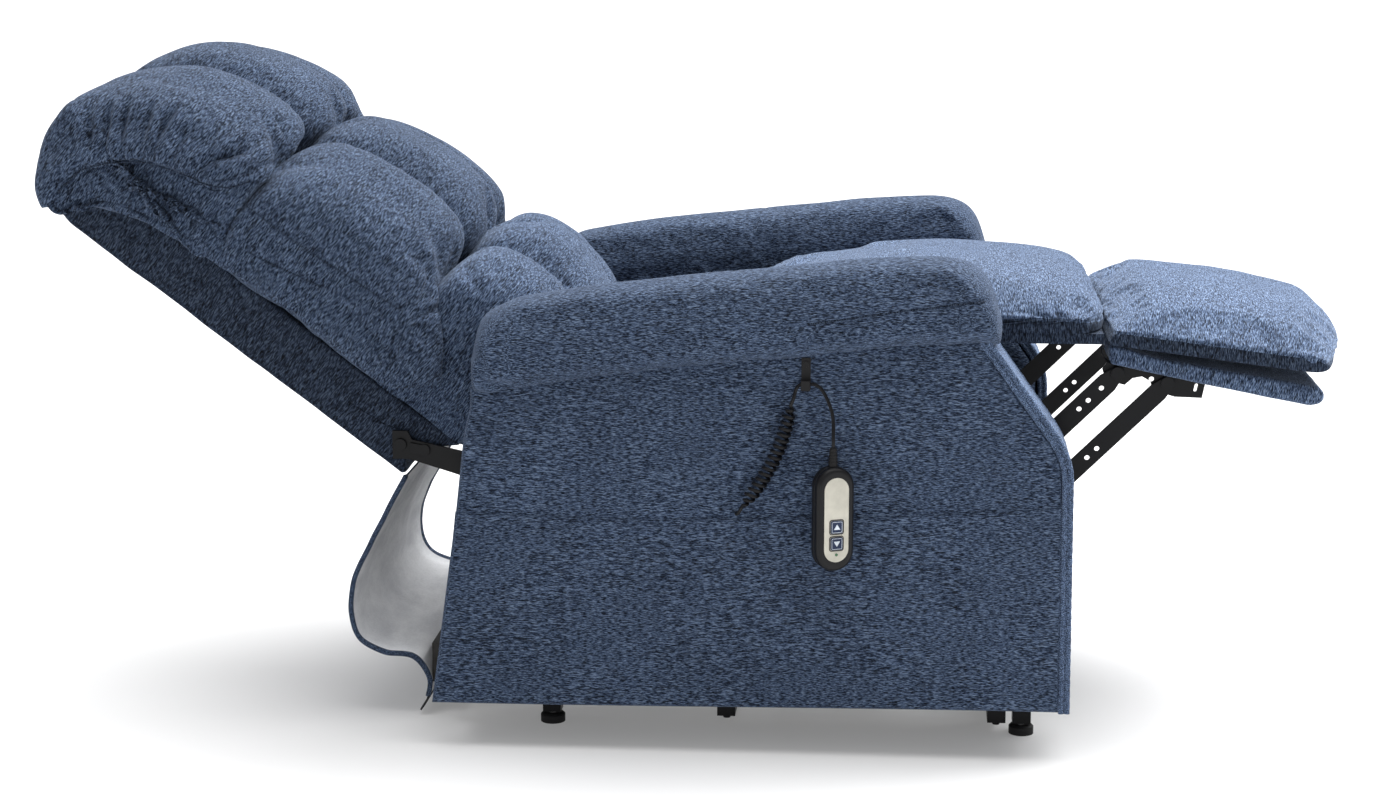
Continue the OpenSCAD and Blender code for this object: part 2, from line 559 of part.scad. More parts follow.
// ---------- back ----------
shell_out = [[0, 0], [577, 0], [606, 12], [620, 36], [626, 60], [626, shell_t], [-40, shell_t], [31, 57], [14, 20]];
shell_in = [[shell_wall + 2, shell_wall], [572, shell_wall], [598, 22], [609, 44], [613, shell_t - shell_wall],
    [-14, shell_t - shell_wall], [42, 60], [24, 24]];
module back_shell() color("#2f3d59") difference() {
    slab([for (p = shell_out) on_back(p[0], p[1])], -shell_y, shell_y);
    slab([for (p = shell_in) on_back(p[0], p[1])], -shell_y + shell_wall, shell_y - shell_wall);
}
module back_block(t0, t1, n0, n1, y0, y1)
    slab([on_back(t0, n0), on_back(t1, n0), on_back(t1, n1), on_back(t0, n1)], y0, y1);
module back_frame() color("#a98a5f") {
    n0 = shell_wall + 0.5;
    n1 = shell_t - shell_wall - 0.5;
    both() back_block(60, 570, n0, n1, shell_y - shell_wall - 32, shell_y - shell_wall);
    for (t = [60, 300, 530]) back_block(t, t + 40, n0, n1, -shell_y + shell_wall + 32, shell_y - shell_wall - 32);
}
bracket_at = [-412, 391];
module back_bars() color("#17181b") both() difference() {
    union() {
        slab([[-423, 371], [-423, 410], [-402, 410], [-396, 398], [-322, 382], [-250, 374], [-200, 384],
            back_pivot + [-14, 16], back_pivot + [4, -21], [-190, 352], [-240, 334], [-322, 347], [-400, 371]],
            bar_y, bar_y + bar_t);
        ycyl(back_pivot, bar_y, bar_y + bar_t, 22);
        // flange turned in along the lower edge
        slab([[-398, 371], [-398, 374], [-336, 355], [-336, 352]], bar_y - 8, bar_y + 1);
    }
    ycyl(back_pivot, bar_y - 1, bar_y + bar_t + 1, 10 + run);
}
module bracket_bolts() color("#202124") both() {
    ycyl(bracket_at, shell_y, bar_y, 6);
    ycyl(bracket_at, bar_y + bar_t, bar_y + bar_t + 3.5, 8.5);
}
lever_pin = [-391, 386];
module release_lever(s) {
    y0 = s < 0 ? -bar_y - bar_t - 0.5 - 2.5 : bar_y + bar_t + 0.5;
    slab([lever_pin + [-8, -6], lever_pin + [-7, 8], lever_pin + [10, 5], lever_pin + [10, -9]], y0, y0 + 2.5);
    ycyl(lever_pin + [12, -2], y0, y0 + 2.5, 8);
}
module release_lever_right() color("#26282c") release_lever(-1);
module release_lever_left() color("#26282c") release_lever(1);

// Pillows: each outline is [t, n]; grooves draw the front in between the columns
lumbar_out = [[120, pillow_n], [120, 160], [119, 220], [121, 268], [117, 298], [106, 324], [86, 339], [58, 347],
    [22, 350], [-16, 347], [-48, 339], [-74, 325], [-90, 298], [-94, 240], [-88, 170], [-62, 108], [-38, pillow_n],
    [20, pillow_n], [70, pillow_n]];
middle_out = [[124, pillow_n], [210, pillow_n], [300, pillow_n], [392, pillow_n], [394, 160], [394, 235], [388, 278],
    [368, 306], [330, 323], [262, 336], [210, 337], [166, 330], [138, 316], [127, 294], [124, 240], [124, 180],
    [124, 130]];
// the same pillow beside the shell, where it hangs lower
wing_out = [[96, 80], [160, 80], [260, 80], [388, 80], [394, 160], [394, 235], [388, 278], [368, 306], [330, 323],
    [262, 334], [200, 331], [150, 316], [100, 288], [58, 250], [40, 204], [42, 166], [54, 134]];
head_out = [[398, pillow_n], [470, pillow_n], [550, pillow_n], [627, pillow_n], [627, 60], [621.6, 35], [610, 13],
    [607, 10], [630, 24], [648, 44], [660, 70], [665, 100], [663, 140], [654, 175], [640, 210], [618, 244],
    [584, 273], [540, 295], [490, 308], [445, 312], [412, 306], [395, 288], [397, 240], [398, 160]];
head_wing = [[398, 86], [440, 77], [480, 70], [520, 60], [550, 48], [572, 30], [585, 14], [602, 9], [630, 24],
    [648, 44], [660, 70], [665, 100], [663, 140], [654, 175], [640, 210], [618, 244],
    [584, 273], [540, 295], [490, 308], [445, 312], [412, 306], [395, 288], [397, 240], [398, 160]];
pillow_edge = shell_y + wing;
// how far the front is drawn in at y: between the columns, and towards the sides
function drawn_in(y) = let (d = abs(abs(y) - groove_y), side = max(0, abs(y) - 225) / 80)
    groove_depth * (d < 1 ? 1 : exp(-d / 16)) + camber * pow(y / 190, 2) + 40 * side * side;
function pillow_ring(out, y, edge, round_share) = let (u = abs(y) / edge,
    v = max(0, (u - 0.8) / 0.2), k = 1 - round_share * (1 - sqrt(max(0, 1 - pow(v, 3)))),
    c = [for (j = [0, 1]) [for (p = out) p[j]] * [for (p = out) 1] / len(out)])
    [for (p = out) let (q = c + k * (p - c), front = min(1, max(0, (p[1] - 130) / 170)),
        r = on_back(q[0], q[1] - drawn_in(y) * front)) [r[0], y, r[1]]];
function inner_rows(g) = [-235, -190, -150, -g - 12, -g, -g + 12, -70, -30, 30, 70, g - 12, g, g + 12, 150, 190, 235];
side_rows = [-pillow_edge, -pillow_edge * 0.985, -pillow_edge * 0.955, -shell_y - 6, -shell_y - 1.5];
module lumbar_pillow() color("#4d618a") {
    e = shell_y;
    ys = concat([-e, -e * 0.97], inner_rows(groove_y), [e * 0.97, e]);
    skin([for (y = ys) reverse(pillow_ring(lumbar_out, y, e, 0.2))]);
}
// pillow that hangs past the shell's sides: out between the sides, side_out beside them
module winged_pillow(out, side_out) {
    ys = concat([-shell_y - 0.3], inner_rows(groove_y), [shell_y + 0.3]);
    skin(concat([for (y = side_rows) reverse(pillow_ring(side_out, y, pillow_edge, 0.45))],
        [for (y = ys) reverse(pillow_ring(out, y, 2 * pillow_edge, 0))],
        [for (y = reverse(side_rows)) reverse(pillow_ring(side_out, -y, pillow_edge, 0.45))]));
}
module middle_pillow() color("#4d618a") winged_pillow(middle_out, wing_out);
module head_pillow() color("#4d618a") winged_pillow(head_out, head_wing);

// Cloth flap under the back, from the shell's lower edge to the rear batten
flap_path = spline([[-408.8, 343], [-438, 292], [-462, 250], [-485, 200], [-494, 150], [-482, 108], [-444, 88],
    [-404, 84], [-382, 56], [-384, 28]], 3);
flap_y = half - 20;
module flap_sheet() slab(ribbon(flap_path, 3), -flap_y, flap_y);
module rear_flap() color("#c9ccd2") flap_sheet();
module flap_tab() color("#101114") slab(ribbon([[-384, 27.5], [-388, 18], [-395, 8]], 2.5), -flap_y, flap_y);

// ---------- handset ----------
handset_turn = 24;
handset_at = [183, -half - arm_w - 28, 334];
relief_h = 24;
// local frame: +Y is away from the handset's face, origin in the middle of the handset
module at_handset() translate(handset_at) rotate([0, 0, handset_turn]) children();
module stadium(w, h, y0, y1) {
    translate([0, y1, (h - w) / 2]) rotate([90, 0, 0]) cylinder(h = y1 - y0, r = w / 2);
    translate([0, y1, -(h - w) / 2]) rotate([90, 0, 0]) cylinder(h = y1 - y0, r = w / 2);
    box(-w / 2, w / 2, y0, y1, -(h - w) / 2, (h - w) / 2);
}
button_z = [-9, -31];
module handset_rear_shell() color("#0f1013") at_handset() {
    stadium(handset_w, handset_h, 0.15, shell_half - 3);
    stadium(handset_w - 6, handset_h - 6, shell_half - 3, shell_half);
}
module button_holes(y0, y1, extra) for (z = button_z)
    box(-button_w / 2 - extra, button_w / 2 + extra, y0, y1, z - button_w / 2 - extra, z + button_w / 2 + extra);
module handset_front_shell() color("#0f1013") at_handset() difference() {
    union() {
        stadium(handset_w, handset_h, 3 - shell_half, 0);
        stadium(handset_w - 6, handset_h - 6, -shell_half, 3 - shell_half);
    }
    button_holes(-shell_half - 1, 4 - shell_half, 0.3);
}
module handset_face() color("#ded8c6") at_handset() difference() {
    stadium(handset_w - 18, handset_h - 26, -shell_half - 1.5, -shell_half);
    button_holes(-shell_half - 3, -shell_half + 1, 0.3);
    translate([0, -shell_half + 1, -46]) rotate([90, 0, 0]) cylinder(h = 4, r = 2 + run);
}
module button(z) box(-button_w / 2, button_w / 2, -shell_half - 3, 2.4 - shell_half, z - button_w / 2, z + button_w / 2);
module button_up() color("#1b2740") at_handset() button(button_z[0]);
module button_down() color("#1b2740") at_handset() button(button_z[1]);
module indicator_light() color("#2d7d46") at_handset()
    translate([0, -shell_half, -46]) rotate([90, 0, 0]) cylinder(h = 2.2, r = 2);
module strain_relief() color("#0f1013") at_handset() translate([0, 0, handset_h / 2]) {
    cylinder(h = relief_h, r1 = 6, r2 = 4.2);
    for (i = [0 : 4]) translate([0, 0, 4 + 4 * i]) cylinder(h = 2, r = 6.4 - 0.3 * i);
}

// ---------- lead ----------
// straight run from the strain relief up over the clip's hook, then curls down to the side panel
lead_y = -half - arm_w;
relief_top = handset_at + [0, 0, handset_h / 2 + relief_h];
lead_top = [relief_top + [0, 0, 0.9], relief_top + [0, 0, 12], [182, lead_y - 20, 464], [176, lead_y - 15, 484],
    [166, lead_y - 10, 501], [156, lead_y - 8, clip_z + 3.2], [clip_x, lead_y - 7.5, clip_z + 2.8]];
curl_start = [128, lead_y - 13, 478];
curl_end = [66, lead_y - 13, 344];
lead_end = [56, lead_y, 332];
join = [131.5, lead_y - 9.6, clip_z - 11];
join_dir = unit(curl_start - join);
lead_bend = [[139, lead_y - 7.7, clip_z + 2.4], [134.4, lead_y - 8.4, clip_z - 1.5], join - lead_d * join_dir, join];
function along_curls(s) = curl_start + (curl_end - curl_start) * s + [9, 0, -3] * sin(180 * s);
curl_r = (curl_d - lead_d) / 2;
curl_axis = unit(curl_end - curl_start);
curl_side = [curl_axis[2], 0, -curl_axis[0]];
curl_steps = 8;
curl_points = [for (i = [0 : curls * curl_steps]) let (s = i / (curls * curl_steps), a = 360 * i / curl_steps,
    grow = min(1, 8 * s + 0.15, 8 * (1 - s) + 0.15))
    along_curls(s) + curl_r * grow * (curl_side * cos(a) + [0, 1, 0] * sin(a))];
lead_out = [[60, lead_y - 12.5, 335], [57, lead_y - 9.5, lead_end[2]], [lead_end[0], lead_y - lead_d, lead_end[2]],
    lead_end];
curly_route = concat([join, join + lead_d * join_dir], curl_points, lead_out);
// least gap between turns, measured between points a curl or so apart
gaps = [for (i = [0 : len(curl_points) - 6], j = [i + 5 : min(i + 11, len(curl_points) - 1)])
    norm(curl_points[i] - curl_points[j]) - lead_d];
echo(least_gap_in_curls = min(gaps));
function unit(v) = v / norm(v);
// frames carried along the route without twist
function tube_rings(p, r, n) = [for (i = 0, t = unit(p[1] - p[0]), x = unit(cross(t, [0.3, 1, 0.2])); i < len(p);
    i = i + 1, t = i < len(p) ? unit(p[min(i + 1, len(p) - 1)] - p[max(i - 1, 0)]) : t,
    x = unit(x - t * (x * t)))
    [for (j = [0 : n - 1]) let (a = 360 * j / n) p[i] + r * (x * cos(a) + cross(t, x) * sin(a))]];
module handset_lead() color("#0d0e10")
    skin([for (r = tube_rings(concat(spline(lead_top, 2), lead_bend), lead_d / 2, 8)) reverse(r)]);
module curly_lead() color("#0d0e10") skin([for (r = tube_rings(curly_route, lead_d / 2, 6)) reverse(r)]);

// ---------- draw ----------
base_frame();
foot_pads();
foot_studs();
tube_caps();
base_pins();
rear_lift_arms();
front_lift_arms();
front_lift_pins();
actuator_housing();
actuator_motor();
actuator_rod();
carriage_frame();
carriage_pins();
rear_batten();
control_box();
arm_frame_right();
arm_frame_left();
arm_panel_right();
arm_panel_left();
arm_roll_right();
arm_roll_left();
arm_border_right();
arm_border_left();
side_pockets();
cord_clip();
seat_frame();
guide_pins();
seat_springs();
seat_platform();
rear_deck();
seat_cushion();
footrest_cranks();
crank_pins();
front_links();
rear_links();
footrest_brackets();
bracket_rivets();
footrest_board();
footrest_straps();
footrest_pad();
back_frame();
back_shell();
back_bars();
bracket_bolts();
lumbar_pillow();
middle_pillow();
head_pillow();
release_lever_right();
release_lever_left();
rear_flap();
flap_tab();
handset_rear_shell();
handset_front_shell();
handset_face();
indicator_light();
strain_relief();
button_up();
button_down();
handset_lead();
curly_lead();
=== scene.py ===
"""Power lift recliner chair, fully reclined: the finish of every surface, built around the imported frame.

Sizes are in millimetres until a mesh is made, in the frame's own axes: +X points forward,
+Y to the sitter's left, +Z up, and the floor is Z = 0.
"""

import math

import bpy
import numpy as np
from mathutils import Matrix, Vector, noise


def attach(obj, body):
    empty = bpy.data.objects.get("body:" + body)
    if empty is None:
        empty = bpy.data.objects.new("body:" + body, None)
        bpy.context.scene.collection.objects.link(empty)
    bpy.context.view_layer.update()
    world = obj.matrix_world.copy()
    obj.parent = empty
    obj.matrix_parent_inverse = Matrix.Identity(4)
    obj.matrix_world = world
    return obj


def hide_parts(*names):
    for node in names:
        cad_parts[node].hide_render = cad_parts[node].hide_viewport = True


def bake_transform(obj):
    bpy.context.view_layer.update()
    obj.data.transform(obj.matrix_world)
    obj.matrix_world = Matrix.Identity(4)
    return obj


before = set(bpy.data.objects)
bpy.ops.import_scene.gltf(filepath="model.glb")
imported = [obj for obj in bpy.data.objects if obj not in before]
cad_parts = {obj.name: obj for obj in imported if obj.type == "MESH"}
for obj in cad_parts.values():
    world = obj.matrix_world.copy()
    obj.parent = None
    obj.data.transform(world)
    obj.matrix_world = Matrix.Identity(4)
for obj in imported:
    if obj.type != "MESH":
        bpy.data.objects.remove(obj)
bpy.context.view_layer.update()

MM = 0.001
SIDES = ((-1, "right"), (1, "left"))

# ---------- sizes shared with the construction ----------
HALF = 280
ARM_W = 110
ARM_OUT = HALF + ARM_W
ROLL_OUT = 35
ARM_H = 662
ARM_GAP = 60
ARM_FRONT = 484
ARM_REAR = -354
BORDER_T = 13
POCKET_T = 3
BACK_ANGLE = math.radians(37)
BACK_AT = (-408, 343)
SHELL_Y = 268
PILLOW_N = 84.3
PILLOW_EDGE = 308
PILLOW_JOINT = 396
SIDE_FROM = 238
SIDE_FULL = 272
GROOVE_Y = 110
BOARD_SLOPE = math.radians(11.2)
BOARD_AT = (549, 512)
CUSHION_Z = 555.8
CROWN = 70
SIDE_DROP = 32
SEAT_Y = 268
PAD_Y = 270
HANDSET_AT = (183, -418, 334)
HANDSET_TURN = math.radians(24)
HANDSET_W = 52
HANDSET_H = 138
SHELL_HALF = 13
FACE_RISE = 1.1
BUTTON_W = 17
BUTTON_Z = {"up": -9, "down": -31}
LAMP_Z = -46


def on_back(t, n, y=0.0):
    """Point of the back: t along it from its lower corner, n out of it."""
    c, s = math.cos(BACK_ANGLE), math.sin(BACK_ANGLE)
    return np.stack(np.broadcast_arrays(BACK_AT[0] + n * s - t * c, y, BACK_AT[1] + n * c + t * s), -1)


def along_back(p):
    """t and n of points given in the frame's axes."""
    c, s = math.cos(BACK_ANGLE), math.sin(BACK_ANGLE)
    x, z = p[..., 0] - BACK_AT[0], p[..., 2] - BACK_AT[1]
    return z * s - x * c, z * c + x * s


def on_board(a, b, y=0.0):
    """Point of the footrest: a along its board, b out of it."""
    c, s = math.cos(BOARD_SLOPE), math.sin(BOARD_SLOPE)
    return np.stack(np.broadcast_arrays(BOARD_AT[0] + a * c + b * s, y, BOARD_AT[1] + b * c - a * s), -1)


def place_object(name, data):
    """New object of the scene with this data."""
    obj = bpy.data.objects.new(name, data)
    bpy.context.scene.collection.objects.link(obj)
    return obj


# ---------- camera ----------
CAMERA_AT = (0.273, -3.6586, 1.1165)
CAMERA_DOWN = 11.022
CAMERA_TURN = 4.805
CAMERA_LENS = 66.62


def add_camera():
    data = bpy.data.cameras.new("camera")
    data.lens = CAMERA_LENS
    data.sensor_width = 36
    data.sensor_fit = "HORIZONTAL"
    camera = place_object("camera", data)
    camera.location = CAMERA_AT
    camera.rotation_euler = (math.radians(90 - CAMERA_DOWN), 0, math.radians(CAMERA_TURN))
    bpy.context.scene.camera = camera


# ---------- curves and meshes ----------
def curve_through(points, steps, closed=False):
    """Smooth curve through chosen points, with this many steps between two of them."""
    p = np.asarray(points, float)
    n = len(p)
    out = []
    for i in range(n if closed else n - 1):
        if closed:
            a, b, c, d = p[i - 1], p[i], p[(i + 1) % n], p[(i + 2) % n]
        else:
            a, b, c, d = p[max(i - 1, 0)], p[i], p[i + 1], p[min(i + 2, n - 1)]
        for k in range(steps):
            u = k / steps
            bend = (2 * a - 5 * b + 4 * c - d) * u * u + (3 * b - a - 3 * c + d) * u**3
            out.append(0.5 * (2 * b + (c - a) * u + bend))
    if not closed:
        out.append(p[-1])
    return np.array(out)


def evenly(path, count, closed=False):
    """The same path as this many equally spaced points."""
    p = np.vstack([path, path[:1]]) if closed else np.asarray(path, float)
    far = np.concatenate([[0], np.cumsum(np.linalg.norm(np.diff(p, axis=0), axis=1))])
    at = np.linspace(0, far[-1], count + 1)[:-1] if closed else np.linspace(0, far[-1], count)
    return np.column_stack([np.interp(at, far, p[:, k]) for k in range(p.shape[1])])


def round_corner(start, corner, end, steps=6):
    """Points of the curve that turns from start to end around a corner."""
    u = np.arange(steps + 1)[:, None] / steps
    return (1 - u) ** 2 * start + 2 * u * (1 - u) * corner + u * u * end


def rounded(points, radius):
    """Closed outline whose corners are rounded, each by up to this radius."""
    p = np.asarray(points, float)
    out = []
    for i in range(len(p)):
        a, b, c = p[i - 1], p[i], p[(i + 1) % len(p)]
        back, on = a - b, c - b
        r = min(radius, 0.45 * np.linalg.norm(back), 0.45 * np.linalg.norm(on))
        out.extend(round_corner(b + unit(back) * r, b, b + unit(on) * r))
    return np.array(out)


def unit(vector):
    return vector / np.linalg.norm(vector)


def upright(flat, y):
    """3-D points from 2-D points in x and z, all at this y."""
    return np.column_stack([flat[:, 0], np.full(len(flat), y), flat[:, 1]])


def sideways(path):
    """Unit normals of an open 2-D path, to its right-hand side."""
    ahead = np.gradient(path, axis=0)
    ahead /= np.linalg.norm(ahead, axis=1)[:, None]
    return np.column_stack([ahead[:, 1], -ahead[:, 0]])


def bell(x, width):
    """1 where x is zero, falling smoothly to nothing beyond this width."""
    return np.exp(-((x / width) ** 2))


def smoothstep(low, high, x):
    """0 below low, 1 above high, and a smooth rise between them."""
    u = np.clip((x - low) / (high - low), 0, 1)
    return u * u * (3 - 2 * u)


def new_object(name, points, faces):
    """Mesh object from points in millimetres."""
    mesh = bpy.data.meshes.new(name)
    mesh.from_pydata([tuple(p) for p in np.asarray(points) * MM], [], [tuple(f) for f in faces])
    mesh.polygons.foreach_set("use_smooth", [True] * len(mesh.polygons))
    mesh.update()
    return place_object(name, mesh)


def cap_faces(first, around, flip):
    """Strip of faces that closes a ring whose points start at first."""
    faces = []
    for j in range((around - 1) // 2):
        face = [j, j + 1, around - 2 - j, around - 1 - j]
        if face[1] == face[2]:
            face.pop(2)
        face = [first + k for k in face]
        faces.append(tuple(face[::-1] if flip else face))
    return faces


def skin_faces(rows, around, ends=True):
    """Quads of a closed skin through rows rings of this many points, closed at both ends."""
    faces = []
    for i in range(rows - 1):
        for j in range(around):
            k = (j + 1) % around
            faces.append((i * around + j, i * around + k, (i + 1) * around + k, (i + 1) * around + j))
    if ends:
        faces += cap_faces(0, around, True) + cap_faces((rows - 1) * around, around, False)
    return faces


def skin(name, rings, ends=True):
    """Closed skin through rings, an array of rows, points and coordinates."""
    rings = np.asarray(rings, float)
    rows, around = rings.shape[:2]
    obj = new_object(name, rings.reshape(-1, 3), skin_faces(rows, around, ends))
    outward(obj)
    return obj


def outward(obj):
    """Turns the faces of a closed mesh outward."""
    mesh = obj.data
    mesh.calc_loop_triangles()
    p = points_of(obj)
    corners = np.zeros(len(mesh.loop_triangles) * 3, int)
    mesh.loop_triangles.foreach_get("vertices", corners)
    a, b, c = (p[corners.reshape(-1, 3)[:, k]] for k in range(3))
    if (a * np.cross(b, c)).sum() < 0:
        mesh.flip_normals()


def points_of(obj):
    p = np.zeros(len(obj.data.vertices) * 3)
    obj.data.vertices.foreach_get("co", p)
    return p.reshape(-1, 3) / MM


def set_points(obj, p):
    obj.data.vertices.foreach_set("co", (np.asarray(p) * MM).ravel())
    obj.data.update()


def normals_of(obj):
    n = np.zeros(len(obj.data.vertices) * 3)
    obj.data.vertex_normals.foreach_get("vector", n)
    return n.reshape(-1, 3)


def apply_modifiers(obj):
    graph = bpy.context.evaluated_depsgraph_get()
    mesh = bpy.data.meshes.new_from_object(obj.evaluated_get(graph))
    obj.modifiers.clear()
    old = obj.data
    obj.data = mesh
    bpy.data.meshes.remove(old)
    mesh.name = obj.name


def wander(points, size, seed=0.0):
    """Smooth value from -1 to 1 at each point, that changes over about this many millimetres."""
    move = Vector((seed * 17.3, seed * 5.1, seed * 9.7))
    return np.array([noise.noise(Vector(p) / size + move) for p in points])


def push(obj, amount):
    """Moves each vertex along its normal by its amount in millimetres."""
    set_points(obj, points_of(obj) + normals_of(obj) * np.asarray(amount)[:, None])


def distance_to(path, points):
    """Distance of 2-D points from a path, and how far along it the nearest point is, from 0 to 1."""
    path = np.asarray(path, float)
    steps = np.linalg.norm(np.diff(path, axis=0), axis=1)
    start = np.concatenate([[0], np.cumsum(steps)])
    best = np.full(len(points), 1e9)
    where = np.zeros(len(points))
    side = np.zeros(len(points))
    for i in range(len(path) - 1):
        d = path[i + 1] - path[i]
        u = np.clip(((points - path[i]) @ d) / (d @ d), 0, 1)
        away = points - path[i] - u[:, None] * d
        far = np.linalg.norm(away, axis=1)
        nearer = far < best
        best[nearer] = far[nearer]
        where[nearer] = ((start[i] + u * steps[i]) / start[-1])[nearer]
        side[nearer] = np.sign(d[0] * away[:, 1] - d[1] * away[:, 0])[nearer]
    return best, where, side


def crease(points, path, depth, width, lift=0.3, fade=0.5):
    """Depth of a fold along a 2-D path, with a soft ridge on both sides, that fades at its ends."""
    far, where, _ = distance_to(path, points)
    ends = np.clip(np.sin(math.pi * where), 0, 1) ** fade if fade else 1.0
    ridge = lift * depth * bell(far - 2.2 * width, width)
    return ends * (ridge - depth * bell(far, width))


def tube(name, path, radius, around=10, closed=False):
    """Round tube along a 3-D path, with its ends closed."""
    p = np.asarray(path, float)
    n = len(p)
    ahead = np.roll(p, -1, 0) - np.roll(p, 1, 0)
    if not closed:
        ahead[0], ahead[-1] = p[1] - p[0], p[-1] - p[-2]
    ahead /= np.linalg.norm(ahead, axis=1)[:, None]
    side = np.cross(ahead[0], (0.3, 1, 0.2))
    turn = np.linspace(0, 2 * math.pi, around, endpoint=False)
    rings = []
    for i in range(n):
        side = side - ahead[i] * (side @ ahead[i])
        side = unit(side)
        up = np.cross(ahead[i], side)
        rings.append(p[i] + radius * (np.outer(np.cos(turn), side) + np.outer(np.sin(turn), up)))
    if closed:
        rings.append(rings[0])
    return skin(name, rings, ends=not closed)


# ---------- cloth ----------
def inflate(obj, held, pressure, slack, frames, cap):
    """Lets cloth settle over its stuffing, by no more than cap: held is from 0, free, to 1, sewn."""
    before = points_of(obj)
    group = obj.vertex_groups.new(name="sewn")
    for level in range(1, 11):
        chosen = np.nonzero(np.round(np.asarray(held) * 10) == level)[0]
        if len(chosen):
            group.add(chosen.tolist(), level / 10, "REPLACE")
    cloth = obj.modifiers.new("cloth", "CLOTH")
    s = cloth.settings
    s.quality = 5
    s.mass = 0.3
    s.tension_stiffness = s.compression_stiffness = 20
    s.shear_stiffness = 8
    s.bending_stiffness = 0.6
    s.use_pressure = True
    s.uniform_pressure_force = pressure
    s.shrink_min = -slack
    s.effector_weights.gravity = 0
    s.vertex_group_mass = "sewn"
    s.pin_stiffness = 1
    cloth.collision_settings.use_collision = False
    scene = bpy.context.scene
    for number in range(1, frames + 1):
        scene.frame_set(number)
    apply_modifiers(obj)
    obj.vertex_groups.clear()
    scene.frame_set(1)
    move = points_of(obj) - before
    far = np.linalg.norm(move, axis=1)
    set_points(obj, before + move * np.minimum(1, cap / np.maximum(far, 1e-6))[:, None])


def stuff(obj, held, pressure=3.0, slack=0.03, frames=16, cap=14.0):
    """Swells a cloth form over its stuffing, and makes its mesh twice as fine."""
    inflate(obj, held, pressure, slack, frames, cap)
    finer = obj.modifiers.new("subsurf", "SUBSURF")
    finer.levels = 1
    finer.render_levels = 1
    apply_modifiers(obj)


# ---------- materials ----------
class Nodes:
    """Short way to write a material's nodes."""

    def __init__(self, name):
        self.material = bpy.data.materials.new(name)
        self.material.use_nodes = True
        self.tree = self.material.node_tree
        self.shader = self.tree.nodes["Principled BSDF"]

    def add(self, kind, inputs=(), **settings):
        node = self.tree.nodes.new(kind)
        for key, value in settings.items():
            setattr(node, key, value)
        for key, value in dict(inputs).items():
            self.put(node.inputs[key], value)
        return node

    def put(self, socket, value):
        if isinstance(value, bpy.types.NodeSocket):
            self.tree.links.new(value, socket)
        else:
            socket.default_value = value

    def coordinates(self, size, turn, shift):
        """Object coordinates measured in grains of this size, in metres, turned by these angles."""
        where = self.add("ShaderNodeTexCoord")
        mapping = self.add("ShaderNodeMapping", vector_type="TEXTURE")
        self.put(mapping.inputs["Vector"], where.outputs["Object"])
        self.put(mapping.inputs["Location"], shift)
        self.put(mapping.inputs["Rotation"], turn)
        self.put(mapping.inputs["Scale"], size)
        return mapping.outputs["Vector"]

    def grain(self, size, detail, roughness=0.5, turn=(0, 0, 0), shift=(0, 0, 0)):
        """Noise in grains of this size, which is one length or one along each axis."""
        sizes = size if isinstance(size, tuple) else (size, size, size)
        vector = self.coordinates(sizes, turn, shift)
        values = {"Vector": vector, "Scale": 1.0, "Detail": detail, "Roughness": roughness}
        return self.add("ShaderNodeTexNoise", values).outputs["Fac"]

    def ramp(self, value, *stops):
        """Ramp through stops of position and colour, or of position and grey."""
        node = self.add("ShaderNodeValToRGB", {"Fac": value})
        ramp = node.color_ramp
        while len(ramp.elements) < len(stops):
            ramp.elements.new(0.5)
        for element, (position, colour) in zip(ramp.elements, stops):
            element.position = position
            element.color = (*colour, 1) if isinstance(colour, tuple) else (colour, colour, colour, 1)
        return node.outputs["Color"]

    def mix(self, factor, a, b, blend="MIX"):
        node = self.add("ShaderNodeMix", data_type="RGBA", blend_type=blend)
        for key, value in (("Factor_Float", factor), ("A_Color", a), ("B_Color", b)):
            socket = next(s for s in node.inputs if s.identifier == key)
            self.put(socket, (*value, 1) if isinstance(value, tuple) and len(value) == 3 else value)
        return next(s for s in node.outputs if s.identifier == "Result_Color")

    def math(self, operation, a, b):
        node = self.add("ShaderNodeMath", operation=operation)
        self.put(node.inputs[0], a)
        self.put(node.inputs[1], b)
        return node.outputs[0]

    def bump(self, height, distance, strength, normal=None):
        values = {"Height": height, "Distance": distance, "Strength": strength}
        node = self.add("ShaderNodeBump", values)
        if normal is not None:
            self.put(node.inputs["Normal"], normal)
        return node.outputs["Normal"]

    def edges(self, radius):
        """Normal that rounds sharp edges by this radius, in metres."""
        return self.add("ShaderNodeBevel", {"Radius": radius}, samples=4).outputs["Normal"]

    def finish(self, **values):
        for key, value in values.items():
            self.put(self.shader.inputs[key.replace("_", " ")], value)
        return self.material


def times(values, k):
    return tuple(k * value for value in values)


